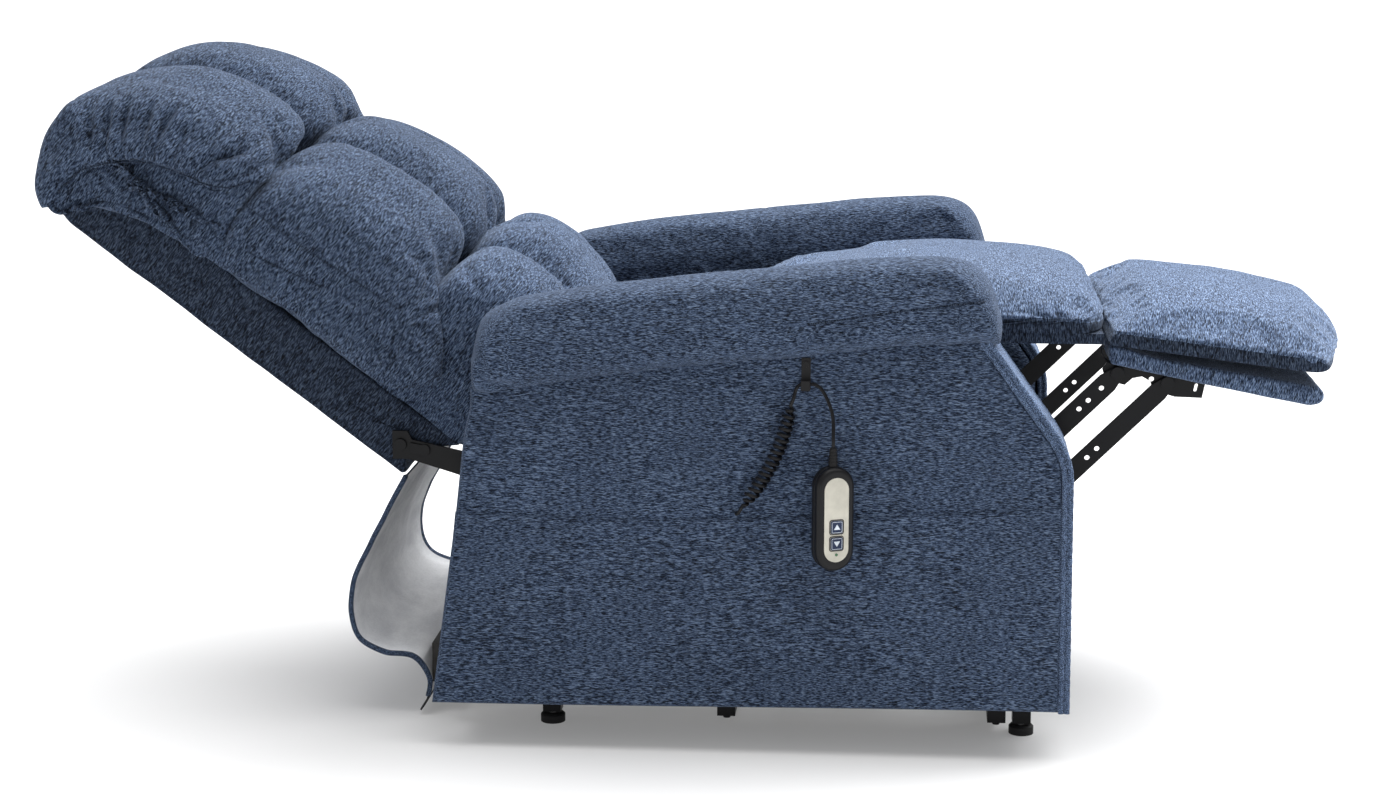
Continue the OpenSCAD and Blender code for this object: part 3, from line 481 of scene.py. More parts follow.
def cloth(name, size, turn=0.0, shade=1.0, sheen=0.1):
    """Flecked chenille. size is how long one fleck is along each axis, turn its slope about Y."""
    m = Nodes(name)
    tilt = (0, turn, 0)
    fleck = m.grain(size, 1.5, 0.5, tilt)
    thread = m.grain(times(size, 0.45), 1.0, 0.5, tilt, (0.31, 0.17, 0.43))
    dark = m.grain(times(size, 1.2), 1.0, 0.5, tilt, (0.7, 0.2, 0.9))
    patch = m.grain(0.09, 2.0)

    # shade scales the whole colour: the dark cloths' own tone, or painted light and painted shade in the lit
    # and shaded copies
    def tone(r, g, b):
        return (0.53 * r * shade, 0.61 * g * shade, 0.69 * b * shade)

    value = m.math("ADD", m.math("MULTIPLY", fleck, 0.62), m.math("MULTIPLY", thread, 0.38))
    colour = m.ramp(
        value,
        (0.385, tone(0.006, 0.009, 0.018)),
        (0.45, tone(0.030, 0.042, 0.072)),
        (0.50, tone(0.078, 0.104, 0.166)),
        (0.55, tone(0.135, 0.172, 0.258)),
        (0.62, tone(0.27, 0.32, 0.42)),
    )
    streaks = m.ramp(dark, (0.36, 0.2), (0.45, 1.0))
    colour = m.mix(0.9, colour, streaks, "MULTIPLY")
    brown = m.ramp(thread, (0.64, 0.0), (0.70, 1.0))
    colour = m.mix(m.math("MULTIPLY", brown, 0.35), colour, tone(0.13, 0.115, 0.10))
    nap = m.ramp(patch, (0.3, 0.86), (0.7, 1.1))
    colour = m.mix(0.5, colour, nap, "MULTIPLY")
    rough = m.ramp(value, (0.4, 0.95), (0.6, 0.8))
    normal = m.bump(value, 0.0016, 0.7)
    return m.finish(
        Base_Color=colour,
        Roughness=rough,
        Normal=normal,
        Specular_IOR_Level=0.14,
        Sheen_Weight=sheen,
        Sheen_Roughness=0.45,
        Sheen_Tint=(0.58, 0.7, 0.92, 1),
    )


def lining_cloth(name):
    """White non-woven lining, a little crumpled and marked."""
    m = Nodes(name)
    fibre = m.grain(0.0035, 4.0, 0.65)
    cloud = m.grain((0.05, 0.12, 0.05), 3.0, 0.55)
    colour = m.ramp(cloud, (0.3, (0.66, 0.67, 0.70)), (0.6, (0.86, 0.87, 0.89)))
    colour = m.mix(0.35, colour, m.ramp(fibre, (0.35, 0.72), (0.62, 1.0)), "MULTIPLY")
    normal = m.bump(m.math("ADD", fibre, m.math("MULTIPLY", cloud, 3.0)), 0.0022, 0.6)
    return m.finish(Base_Color=colour, Roughness=0.95, Normal=normal, Specular_IOR_Level=0.2)


def painted_steel(name):
    """Satin powder coat: fine orange peel, softened edges and slight rubbing."""
    m = Nodes(name)
    colour = (0.0042, 0.0044, 0.0052)
    peel = m.grain(0.0011, 2.0)
    smear = m.grain(0.03, 4.0, 0.6)
    shade = m.ramp(smear, (0.35, colour), (0.75, times(colour, 1.9)))
    shine = m.ramp(smear, (0.3, 0.30), (0.7, 0.52))
    normal = m.bump(peel, 0.00012, 0.35, m.edges(0.0007))
    return m.finish(Base_Color=shade, Roughness=shine, Metallic=0.0, Normal=normal, Specular_IOR_Level=0.16)


def bare_metal(name, colour, rough, brushed=(0.02, 0.0006, 0.02)):
    """Bare or plated metal with fine turning marks and cloudy roughness."""
    m = Nodes(name)
    lines = m.grain(brushed, 3.0, 0.6)
    cloud = m.grain(0.012, 3.0, 0.6)
    shade = m.ramp(cloud, (0.3, times(colour, 0.72)), (0.65, colour))
    shine = m.ramp(lines, (0.3, rough - 0.08), (0.7, rough + 0.1))
    normal = m.bump(lines, 0.00008, 0.4, m.edges(0.0005))
    return m.finish(Base_Color=shade, Roughness=shine, Metallic=1.0, Normal=normal)


def moulded(name, colour, rough=0.42, grain=0.0009, depth=0.00012, bevel=0.0008):
    """Moulded plastic or rubber with a fine spark-eroded grain."""
    m = Nodes(name)
    spark = m.grain(grain, 3.0, 0.6)
    hands = m.grain(0.025, 4.0, 0.6)
    lighter = tuple(min(1.0, 1.25 * c + 0.003) for c in colour)
    shade = m.ramp(hands, (0.35, colour), (0.7, lighter))
    shine = m.ramp(hands, (0.3, rough - 0.07), (0.7, rough + 0.12))
    normal = m.bump(spark, depth, 0.5, m.edges(bevel))
    return m.finish(Base_Color=shade, Roughness=shine, Normal=normal, Specular_IOR_Level=0.2)


def timber_board(name, colour, along=0):
    """Rough softwood or plywood with long grain."""
    m = Nodes(name)
    size = [0.012, 0.012, 0.012]
    size[along] = 0.3
    grain = m.grain(tuple(size), 5.0, 0.65)
    shade = m.ramp(grain, (0.35, times(colour, 0.55)), (0.6, colour))
    normal = m.bump(grain, 0.0004, 0.6, m.edges(0.001))
    return m.finish(Base_Color=shade, Roughness=0.75, Normal=normal)


def woven_strap(name, colour):
    """Woven webbing: cross ribs and a fine thread."""
    m = Nodes(name)
    rib = m.grain((0.0012, 0.006, 0.0012), 1.0)
    shade = m.ramp(rib, (0.35, times(colour, 0.5)), (0.65, times(colour, 1.6)))
    normal = m.bump(rib, 0.0006, 0.8)
    return m.finish(Base_Color=shade, Roughness=0.8, Normal=normal)


def glowing_lens(name, colour):
    m = Nodes(name)
    cloud = m.grain(0.002, 1.0)
    shade = m.ramp(cloud, (0.3, times(colour, 0.7)), (0.7, colour))
    return m.finish(Base_Color=shade, Roughness=0.15, Coat_Weight=0.6)


FLECK = 0.0068
THREAD = 0.0011


def make_materials():
    """One material for each finish, and one for each lie of the cloth, with lit and shaded copies of the same
    chenille.
    """
    across = (THREAD, FLECK, FLECK)
    made = [
        cloth("cloth_arm", (FLECK, THREAD, THREAD), 0.0, 0.96),
        # painted shade: the back pillows get a darker copy of the chenille than the arms
        cloth("cloth_back_shaded", across, BACK_ANGLE, 0.86),
        # painted light: the lumbar pillow gets a lighter copy than the other back pillows
        cloth("cloth_lumbar_lit", across, BACK_ANGLE, 1.08, 0.2),
        # partly a paler thread, partly painted light: the border and its piping get a much lighter copy of
        # the chenille
        cloth("cloth_border_pale_and_lit", (THREAD, FLECK, THREAD), 0.0, 1.6, 0.2),
        cloth("cloth_shell", across, BACK_ANGLE, 0.46),
        # painted light: the seat and footrest copies are lighter, standing for the light on their tops
        cloth("cloth_seat_lit", across, 0.0, 1.3, 0.3),
        cloth("cloth_footrest_lit", across, BOARD_SLOPE, 1.38, 0.3),
        cloth("cloth_flap", (THREAD, FLECK, THREAD)),
        cloth("cloth_dark", across, 0.0, 0.48),
        lining_cloth("lining"),
        painted_steel("frame_steel"),
        bare_metal("pin_steel", (0.42, 0.42, 0.43), 0.38),
        bare_metal("spring_steel", (0.2, 0.2, 0.21), 0.45),
        bare_metal("rod_steel", (0.62, 0.62, 0.63), 0.22, (0.02, 0.0004, 0.0004)),
        moulded("foot_rubber", (0.012, 0.012, 0.013), 0.6, 0.002, 0.0003, 0.0015),
        moulded("black_plastic", (0.005, 0.005, 0.006), 0.42),
        moulded("handset_plastic", (0.005, 0.005, 0.006), 0.36, 0.0006, 0.00006),
        moulded("face_ivory", (0.46, 0.445, 0.385), 0.34, 0.0005, 0.00003, 0.0004),
        moulded("button_blue", (0.016, 0.026, 0.062), 0.4, 0.0005, 0.00004, 0.0008),
        moulded("button_mark", (0.55, 0.60, 0.66), 0.4, 0.0005, 0.00002, 0.0002),
        glowing_lens("lamp", (0.05, 0.16, 0.07)),
        moulded("lead", (0.004, 0.004, 0.005), 0.3, 0.0008, 0.00005, 0.0002),
        timber_board("timber", (0.42, 0.29, 0.16)),
        timber_board("batten", (0.028, 0.026, 0.024), 1),
        woven_strap("webbing", (0.014, 0.014, 0.016)),
    ]
    return {material.name.partition(".")[0]: material for material in made}


def dress(obj, material, body=None, slot=None, replaces=()):
    """Gives a piece its material and its body, and hides the nodes that it stands for; slot is not used."""
    if not obj.data.materials:
        obj.data.materials.append(MATERIALS[material])
    if body:
        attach(obj, body)
    if replaces:
        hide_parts(*replaces)
    return obj


# ---------- leads ----------
LEAD_D = 4.5
CURL_R = 7.75
CURLS = 18
LEAD_TOP = [
    (183, -418, 427.9), (183, -418, 439), (182, -410, 464), (176, -405, 484), (166, -400, 501),
    (156, -398, 506.2), (146, -397.5, 505.8),
]
LEAD_BEND = [(139, -397.7, 505.4), (134.4, -398.4, 501.5)]
LEAD_JOIN = np.array([131.5, -399.6, 492])
CURL_START = np.array([128, -403, 478])
CURL_END = np.array([66, -403, 344])
LEAD_OUT = [(60, -402.5, 335), (57, -399.5, 332), (56, -394.5, 332), (56, -390, 332)]


def curl_points(steps):
    """The curls, as points round an axis that bows a little."""
    axis = unit(CURL_END - CURL_START)
    side = np.array([axis[2], 0, -axis[0]])
    points = []
    for i in range(CURLS * steps + 1):
        s = i / (CURLS * steps)
        a = 2 * math.pi * i / steps
        grow = min(1, 8 * s + 0.15, 8 * (1 - s) + 0.15)
        middle = CURL_START + (CURL_END - CURL_START) * s + np.array([9, 0, -3]) * math.sin(math.pi * s)
        points.append(middle + CURL_R * grow * (side * math.cos(a) + np.array([0, 1, 0]) * math.sin(a)))
    return points


def make_leads():
    """One lead from the handset over the clip's hook, and down in curls to the arm's side."""
    into = unit(CURL_START - LEAD_JOIN)
    straight = curve_through([*LEAD_TOP, *LEAD_BEND, LEAD_JOIN - LEAD_D * into, LEAD_JOIN], 4)
    curls = curl_points(20)
    tail = curve_through([curls[-1], *LEAD_OUT], 4)[1:]
    route = np.vstack([straight, LEAD_JOIN + LEAD_D * into, curls, tail])[::-1]
    data = bpy.data.curves.new("handset_cord", "CURVE")
    data.dimensions = "3D"
    data.bevel_depth = LEAD_D / 2 * MM
    data.bevel_resolution = 3
    data.use_fill_caps = True
    spline = data.splines.new("POLY")
    spline.points.add(len(route) - 1)
    for point, place in zip(spline.points, route * MM):
        point.co = (*place, 1)
    spline.use_smooth = True
    cord = place_object("handset_cord", data)
    dress(cord, "lead", "carriage", "lead", ["handset_lead", "curly_lead"])


# ---------- back ----------
# Outlines across each pillow, as t and n: OUT at its middle, WING at its two sides.
HEAD_FRONT = [
    (630, 24), (648, 44), (660, 70), (665, 100), (663, 140), (654, 175), (640, 210), (618, 244), (584, 273),
    (540, 295), (490, 308), (445, 312), (412, 306), (395, 288),
]
HEAD_OUT = [
    (398, 84), (470, 84), (550, 84), (627, 84), (627, 60), (622, 35), (610, 13), (607, 10),
    *HEAD_FRONT, (397, 240), (398, 160),
]
HEAD_WING = [
    (392, 86), (440, 77), (480, 70), (520, 60), (550, 48), (572, 30), (585, 14), (602, 8),
    *HEAD_FRONT, (395, 240), (392, 160),
]
MIDDLE_OUT = [
    (124, 84), (210, 84), (300, 84), (392, 84), (394, 160), (394, 235), (388, 278), (368, 306), (330, 323),
    (262, 336), (210, 337), (166, 330), (138, 316), (127, 294), (124, 240), (124, 180), (124, 130),
]
MIDDLE_WING = [
    (92, 96), (160, 90), (260, 90), (400, 88), (400, 160), (396, 235), (388, 278), (368, 306), (330, 323),
    (262, 334), (200, 331), (150, 316), (100, 288), (58, 250), (40, 204), (42, 166), (54, 130),
]
LUMBAR_OUT = [
    (120, 84), (120, 160), (119, 220), (121, 268), (117, 298), (106, 324), (86, 339), (58, 347), (22, 350),
    (-16, 347), (-48, 339), (-74, 325), (-90, 298), (-94, 240), (-88, 170), (-62, 108), (-38, 84), (20, 84),
    (70, 84),
]
CAMBER = 26
LEAN = 8
GROOVE_DEPTH = 30
GROOVE_REACH = 92


def groove(y):
    """How far the front is drawn in at y, in the seams between the three columns."""
    near = np.clip(1 - np.abs(np.abs(y) - GROOVE_Y) / GROOVE_REACH, 0, 1)
    return GROOVE_DEPTH * (1 - np.sqrt(1 - 0.999 * near**2.3))


def quarter(steps):
    """Sine, and 1 less the cosine, in steps through a quarter turn."""
    turns = [math.pi / 2 * i / steps for i in range(steps + 1)]
    return [(math.sin(a), 1 - math.cos(a)) for a in turns]


def mirrored(half):
    """Rows of both sides, from those with y from 0 up."""
    return [(-row[0], *row[1:]) for row in half[:0:-1]] + half


def pillow_rows(edge, start, spacing):
    """Rows across a pillow: y, a share that rounds its sides, and a share that closes them."""
    half = [(y, 0.0, 0.0) for y in np.arange(0, start, spacing)]
    half += [(start + (edge - start) * far, k, 0.0) for far, k in quarter(14)]
    for i in range(1, 23):
        s = 0.975 * i / 22
        half.append((edge + 4 * math.sin(s * math.pi / 2), 1.0, s))
    return mirrored(half)


def pillow(name, outline, side_outline, edge, start, fall, meets=9999, around=184, spacing=6.4):
    """Stuffed pillow in three columns, as a closed skin across the back.

    fall is how far its rounded sides drop: at the front, at the ends, and at the lower edge. Where
    the low part of its side meets the next pillow, at the distance meets, its end stays full.
    """
    middle = evenly(curve_through(outline, 10, True), around, True)
    wing = evenly(curve_through(side_outline, 10, True), around, True)
    core = np.array([middle[:, 0].mean(), 175.0])
    rings = []
    for y, k, s in pillow_rows(edge, start, spacing):
        p = middle + (wing - middle) * smoothstep(SHELL_Y - 8, SHELL_Y + 10, abs(y))
        half = (p.max(0) - p.min(0)) / 2
        centre = p.min(0) + half
        front = smoothstep(120, 250, p[:, 1])
        toward = core - p
        toward /= np.linalg.norm(toward, axis=1)[:, None]
        p = p + toward * (groove(y) * front)[:, None]
        level = CAMBER * (min(abs(y), 230) / 190) ** 2 - LEAN * y / 200
        p[:, 1] -= (level + fall[0] * k) * front
        p[:, 1] += fall[2] * k * (1 - smoothstep(80, 150, p[:, 1]))
        full = (1 - smoothstep(160, 235, p[:, 1])) * bell(p[:, 0] - meets, 60)
        p[:, 0] = centre[0] + (p[:, 0] - centre[0]) * (1 - fall[1] * k * k * (1 - full) / half[0])
        centre = (p.min(0) + p.max(0)) / 2
        p = centre + (p - centre) * (1 - s)
        rings.append(on_back(p[:, 0], p[:, 1], y))
    return skin(name, rings)


def sewn_back(obj):
    """How firmly a back pillow's points are sewn: along the column seams, and where it is fixed."""
    p, t, n = back_points(obj)
    seams = bell(np.abs(p[:, 1]) - GROOVE_Y, 5)
    fixed = 1 - smoothstep(PILLOW_N + 15, PILLOW_N + 60, n) * (np.abs(p[:, 1]) < SHELL_Y)
    fixed *= np.abs(p[:, 1]) < SHELL_Y
    return np.clip(np.maximum(seams, fixed), 0, 1)


def column_puckers(p, t, n, seed):
    """Short folds that run into the column seams."""
    y = np.abs(p[:, 1])
    far = np.abs(y - GROOVE_Y)
    along = t + 0.35 * n
    phase = along / 21 + 2.4 * wander(np.column_stack([along, 0 * along, 40 * np.sign(p[:, 1])]), 34, seed)
    reach = bell(far - 9, 15) * smoothstep(150, 240, n)
    return 1.5 * np.sin(2 * math.pi * phase) * reach


def back_points(obj):
    """A piece's points, with their t and n."""
    p = points_of(obj)
    return p, *along_back(p)


def side_mask(p, low=SIDE_FROM, high=SIDE_FULL):
    return smoothstep(low, high, np.abs(p[:, 1]))


GUSSET_SEAM = [
    (600, 40), (597, 58), (593, 79), (580, 100), (560, 121), (535, 142), (506, 156), (473, 166), (439, 175),
    (416, 190), (402, 210),
]
HEAD_FOLDS = [
    ([(638, 158), (613, 134), (592, 112)], 5, 5),
    ([(618, 178), (595, 150), (573, 124)], 6, 5),
    ([(600, 198), (577, 162), (554, 136)], 7, 5),
    ([(572, 214), (552, 180), (534, 152)], 6, 5),
    ([(543, 230), (536, 196), (522, 164)], 8, 5),
    ([(507, 226), (505, 196), (497, 170)], 4, 6),
    ([(472, 168), (459, 193), (441, 224), (424, 252)], 10, 8),
    ([(447, 175), (426, 204), (404, 232), (386, 248)], 11, 7),
    ([(443, 203), (430, 226), (408, 244)], 7, 6),
    ([(478, 146), (472, 116), (458, 90)], 2.4, 9),
    ([(442, 152), (438, 120), (428, 94)], 3.2, 9),
    ([(414, 160), (404, 124), (394, 98)], 3.6, 9),
    ([(522, 128), (514, 106), (500, 84)], 2.2, 9),
]
MIDDLE_FOLDS = [
    ([(395, 178), (355, 182), (300, 185), (240, 188), (180, 192), (132, 196)], 1.4, 4),
    ([(124, 192), (110, 211), (88, 229), (62, 243)], 3.2, 4.5),
    ([(148, 268), (132, 246), (124, 222), (124, 196)], 5, 5),
    ([(178, 262), (152, 257), (130, 250)], 3.4, 6),
    ([(128, 272), (112, 262), (94, 252)], 3, 5),
    ([(123, 188), (115, 150), (102, 126)], 3.2, 5),
    ([(110, 190), (92, 183), (76, 181)], 2, 6),
    ([(400, 172), (392, 130), (372, 98)], 3.4, 9),
    ([(372, 170), (350, 132), (340, 104)], 2.6, 10),
    ([(330, 176), (316, 140), (312, 110)], 1.8, 13),
    ([(250, 178), (240, 140), (236, 112)], 1.6, 14),
]
MIDDLE_SEAMS = [
    [(388, 180), (355, 182), (267, 186), (171, 193), (134, 196)],
    [(126, 174), (121, 194), (103, 217), (77, 236), (54, 248)],
    [(125, 172), (119, 149), (103, 122), (90, 106)],
]
LUMBAR_FOLDS = [
    ([(116, 282), (92, 276), (70, 266)], 3, 7),
    ([(112, 306), (88, 306), (62, 300)], 2, 8),
]


def seam_lines(obj, name, paths, radius):
    """Sewn lines on both sides of a back pillow, that follow its surface."""
    p, t, n = back_points(obj)
    for side, word in SIDES:
        outer = side * p[:, 1] > 150
        flat, reach = np.column_stack([t, n])[outer], side * p[outer, 1]
        for number, path in enumerate(paths):
            route = evenly(curve_through(path, 8), 70)
            y = []
            for point in route:
                near = np.hypot(*(flat - point).T) < 3.5
                y.append(reach[near].max() if near.any() else np.nan)
            y = np.array(y)
            found = ~np.isnan(y)
            soft = np.convolve(np.pad(y[found], 2, "edge"), np.ones(5) / 5, "valid")
            line = on_back(route[found, 0], route[found, 1], side * (soft + 0.1))
            dress(tube(f"{name}_{number}_{word}", line, radius, 8), "cloth_dark", "back", "dark_cloth")


def add_folds(obj, folds, seed, low=SIDE_FROM, high=SIDE_FULL):
    """Creases of the pillow's two sides, drawn in t and n, and soft unevenness all over."""
    p, t, n = back_points(obj)
    flat = np.column_stack([t, n])
    mask = side_mask(p, low, high)
    amount = np.zeros(len(p))
    for path, depth, width in folds:
        smooth = curve_through(path, 4)
        amount += crease(flat, smooth, 1.5 * depth, width, 0.38) * mask
    amount += column_puckers(p, t, n, seed)
    amount += 1.9 * wander(p, 85, seed) + 0.7 * wander(p, 34, seed + 3)
    push(obj, amount)


def make_head_pillow():
    obj = pillow("head_pillow_cover", HEAD_OUT, HEAD_WING, PILLOW_EDGE - 4, 205, (52, 22, 6), PILLOW_JOINT)
    stuff(obj, sewn_back(obj))
    add_folds(obj, HEAD_FOLDS, 1.0)
    p, t, n = back_points(obj)
    flat = np.column_stack([t, n])
    far, where, side = distance_to(curve_through(GUSSET_SEAM, 5), flat)
    mask = side_mask(p)
    above = smoothstep(-4, 4, -side * far)
    level = smoothstep(0.35, 0.75, np.abs(normals_of(obj)[:, 1]))
    gathers = 2.4 * np.sin(2 * math.pi * where * 15 + 2 * np.sin(where * 17)) * np.exp(-far / 22) * above
    seam = -6.0 * bell(far, 3.2)
    bulge = 9.0 * above * bell(far - 20, 20)
    recess = -9.0 * (1 - above) * level * smoothstep(392, 460, t)
    push(obj, (seam + bulge + recess + gathers) * mask)
    seam_lines(obj, "head_seam", [GUSSET_SEAM], 0.9)
    dress(obj, "cloth_back_shaded", "back", "blue_cloth", ["head_pillow"])


def make_middle_pillow():
    name = "middle_pillow_cover"
    obj = pillow(name, MIDDLE_OUT, MIDDLE_WING, PILLOW_EDGE - 4, 190, (66, 16, 8), PILLOW_JOINT)
    stuff(obj, sewn_back(obj))
    add_folds(obj, MIDDLE_FOLDS, 2.0)
    seam_lines(obj, "middle_seam", MIDDLE_SEAMS, 0.5)
    dress(obj, "cloth_back_shaded", "back", "blue_cloth", ["middle_pillow"])


def make_lumbar_pillow():
    name = "lumbar_pillow_cover"
    obj = pillow(name, LUMBAR_OUT, LUMBAR_OUT, SHELL_Y - 5, 195, (45, 12, 0), around=150, spacing=7.5)
    tucked = 1 - smoothstep(-60, 20, along_back(points_of(obj))[0])
    stuff(obj, np.maximum(sewn_back(obj), tucked))
    add_folds(obj, LUMBAR_FOLDS, 3.0, 190, 235)
    dress(obj, "cloth_lumbar_lit", "back", "blue_cloth", ["lumbar_pillow"])


SHELL_ROUND = 7
SHELL_OUT = [(0, 0), (577, 0), (606, 12), (620, 36), (626, 60), (626, 84), (-40, 84), (31, 57), (14, 20)]


def make_back_shell():
    """Cloth pulled over the back's box, with soft edges and a seam along its rear edges."""
    outline = evenly(rounded(SHELL_OUT, 12), 260, True)
    centre = outline.mean(0)
    inner = SHELL_Y - SHELL_ROUND
    rows = [(y, 0.0) for y in np.linspace(-inner, inner, 70)]
    edge = [(inner + SHELL_ROUND * far, SHELL_ROUND * k) for far, k in quarter(8)[1:]]
    edge += [(SHELL_Y + 0.4, shrink) for shrink in (12, 20, 30, 38)]
    rows = [(-y, s) for y, s in edge[::-1]] + rows + edge
    rings = []
    for y, shrink in rows:
        away = outline - centre
        p = outline - np.clip(away / np.array([300, 42]), -1, 1) * shrink
        rings.append(on_back(p[:, 0], p[:, 1], y))
    obj = skin("back_shell_cover", rings)
    p, t, n = back_points(obj)
    amount = 1.6 * wander(p, 110, 4.0) + 0.7 * wander(p, 40, 5.0)
    side = smoothstep(SHELL_Y - 4, SHELL_Y, np.abs(p[:, 1]))
    amount += side * crease(np.column_stack([t, n]), [(20, 9), (300, 8), (575, 9)], 2.2, 3.0, 0.4, 0)
    push(obj, amount - 1.2)
    dress(obj, "cloth_shell", "back", "dark_cloth", ["back_shell"])


# ---------- arms ----------
ROLL_X = [-291, -286, -273, -245, -220, -127, 5, 135, 226, 304, 345, 372, 388, 395]
ROLL_DROP = [126, 100, 78, 65, 58, 43, 28, 14, 5, 1, 4, 18, 42, 72]
ROLL_WIDTH = [0.62, 0.82, 0.93, 1, 1, 1, 1, 1, 1, 1, 1, 0.94, 0.82, 0.6]
ROLL_FRONT = 395
SEAM_X = [-291, -193, -56, 146, 271, 362, ROLL_FRONT]
SEAM_DROP = [178, 162, 141, 121, 105, 101, 103]


def seam_z(x):
    return ARM_H - np.interp(x, SEAM_X, SEAM_DROP)


ROLL_TUCK = 56
ROLL_ROWS = 150
ROLL_JOINT = [(150, 46), (253, 49), (330, 54), (388, 61)]


def roll_rings(side):
    """Rings of an arm's padded roll, from its rear end to its front end."""
    table = curve_through(np.column_stack([ROLL_X, ROLL_DROP, ROLL_WIDTH]), 14)
    table = evenly(table * [1, 1, 60], ROLL_ROWS) / [1, 1, 60]
    inner, outer = HALF + 3, ARM_OUT + ROLL_OUT
    rings = []
    turn = np.radians(np.linspace(-ROLL_TUCK, 180 + ROLL_TUCK, 76))
    for x, drop, width in table:
        top, low = ARM_H - drop, seam_z(x)
        rz = (top - low) / (1 + math.sin(math.radians(ROLL_TUCK)))
        ry = (outer - inner) / 2 * min(width, 1)
        y = (inner + outer) / 2 + ry * np.cos(turn)
        z = top - rz + rz * np.sin(turn)
        rings.append(np.column_stack([np.full(len(y), x), side * y, z]))

    def closing(ring, shrink, ahead):
        centre = ring.mean(0)
        return centre + (ring - centre) * shrink + np.array([ahead, 0, 0])

    rear = [closing(rings[0], k, x) for k, x in ((0.2, -3.0), (0.5, -2.6), (0.8, -1.6))]
    front = [closing(rings[-1], k, x) for k, x in ((0.8, 1.6), (0.55, 2.6), (0.3, 3.0), (0.1, 3.2))]
    return rear + rings + front


def roll_seam(obj, word):
    """Stitched joint across the front of the roll's outer face."""
    p = points_of(obj)
    outer = p[np.abs(p[:, 1]) > HALF + 70]
    above = outer[:, 2] - seam_z(outer[:, 0])
    line = []
    for x, height in curve_through(ROLL_JOINT, 3):
        line.append(outer[np.argmin((outer[:, 0] - x) ** 2 + (above - height) ** 2)])
    seam = tube(f"arm_roll_seam_{word}", curve_through(np.array(line), 6), 1.1, 6)
    dress(seam, "cloth_dark", "carriage", "dark_cloth")


def make_roll(side, word):
    obj = skin(f"arm_roll_cover_{word}", roll_rings(side))
    p = points_of(obj)
    sewn = 1 - smoothstep(4, 30, p[:, 2] - seam_z(p[:, 0]))
    stuff(obj, sewn, 2.0, 0.02, 12, 8)
    p = points_of(obj)
    above = p[:, 2] - seam_z(p[:, 0])
    outside = smoothstep(HALF + 90, HALF + 120, np.abs(p[:, 1]))
    amount = 1.1 * wander(p, 90, 6.0 + side) + 0.5 * wander(p * [0.4, 1, 1], 22, 7.0 + side)
    flat = np.column_stack([p[:, 0], above])
    joint = crease(flat, curve_through(ROLL_JOINT, 4), 2.0, 3.0, 0.6, 0.25)
    amount += outside * joint
    gathers = 0.8 * np.sin(p[:, 0] / 9 + 3 * np.sin(p[:, 0] / 41))
    amount += outside * gathers * bell(above - 4, 12)
    amount += outside * crease(flat, [(-286, 30), (-262, 12), (-232, 6)], 4, 6, 0.4)
    amount += outside * crease(flat, [(-289, 60), (-270, 34), (-252, 22)], 3, 6, 0.4)
    push(obj, amount)
    dress(obj, "cloth_arm", "carriage", "blue_cloth", [f"arm_roll_{word}"])
    roll_seam(obj, word)


FRONT_BREAK = (ARM_FRONT - 13, ARM_H - 239)
FRONT_TOP = (ARM_FRONT - 104, ARM_H - 114)
REAR_EDGE = [(ARM_REAR, ARM_GAP), (ARM_REAR + 32, 287), (ARM_REAR + 49, 430), (ARM_REAR + 58, 468)]
FRONT_EDGE = [
    (ARM_FRONT, ARM_GAP + 8), (ARM_FRONT - 1, 240), (ARM_FRONT - 3, FRONT_BREAK[1] - 28),
    FRONT_BREAK, FRONT_TOP,
]


def rear_x(z):
    xs, zs = zip(*REAR_EDGE)
    return np.interp(z, zs, xs)


def front_x(z):
    xs, zs = zip(*FRONT_EDGE)
    return np.interp(z, zs, xs)


def panel_grid(columns, rows, low, high):
    """Points of an arm's side between two heights, which are functions of x, and how near an edge."""
    u, v = np.meshgrid(np.linspace(0, 1, columns), np.linspace(0, 1, rows))
    x = ARM_REAR + u * (ARM_FRONT - ARM_REAR)
    for _ in range(4):
        z = low(x) + v * (high(x) - low(x))
        x = rear_x(z) + u * (front_x(z) - rear_x(z))
    wide = (x[:, -1] - x[:, 0])[:, None]
    rim = np.minimum(np.minimum(u, 1 - u) * wide, np.minimum(v, 1 - v) * 400)
    return np.stack([x, z], -1), rim


def sheet_faces(rows, columns):
    """Faces of a closed sheet between two grids: front and back in turn, and then the rim."""
    count = rows * columns
    faces = []
    for i in range(rows - 1):
        for j in range(columns - 1):
            a = i * columns + j
            faces.append((a, a + 1, a + columns + 1, a + columns))
            b = a + count
            faces.append((b, b + columns, b + columns + 1, b + 1))
    border = list(range(columns)) + [i * columns + columns - 1 for i in range(1, rows)]
    border += [(rows - 1) * columns + j for j in range(columns - 2, -1, -1)]
    border += [i * columns for i in range(rows - 2, 0, -1)]
    for a, b in zip(border, border[1:] + border[:1]):
        faces.append((a, a + count, b + count, b))
    return faces


def cushion_sheet(name, grid, depth, side):
    """Closed thin pad over a grid of x and z: depth gives the y of its front and of its back."""
    flat = grid.reshape(-1, 2)
    points = [upright(flat, side * y.ravel()) for y in depth]
    obj = new_object(name, np.vstack(points), sheet_faces(*grid.shape[:2]))
    outward(obj)
    return obj


def pocket_z(x):
    return np.interp(x, [-320, -60, 250, 476], [326, 322, 332, 348])


def bottom_z(x):
    return ARM_GAP + 8 * smoothstep(ARM_REAR, ARM_FRONT, x)


def roundoff(rim, radius):
    """How far a pad's face falls back near its rim."""
    u = np.clip(1 - rim / radius, 0, 1)
    return radius * (1 - np.sqrt(1 - 0.98 * u * u))


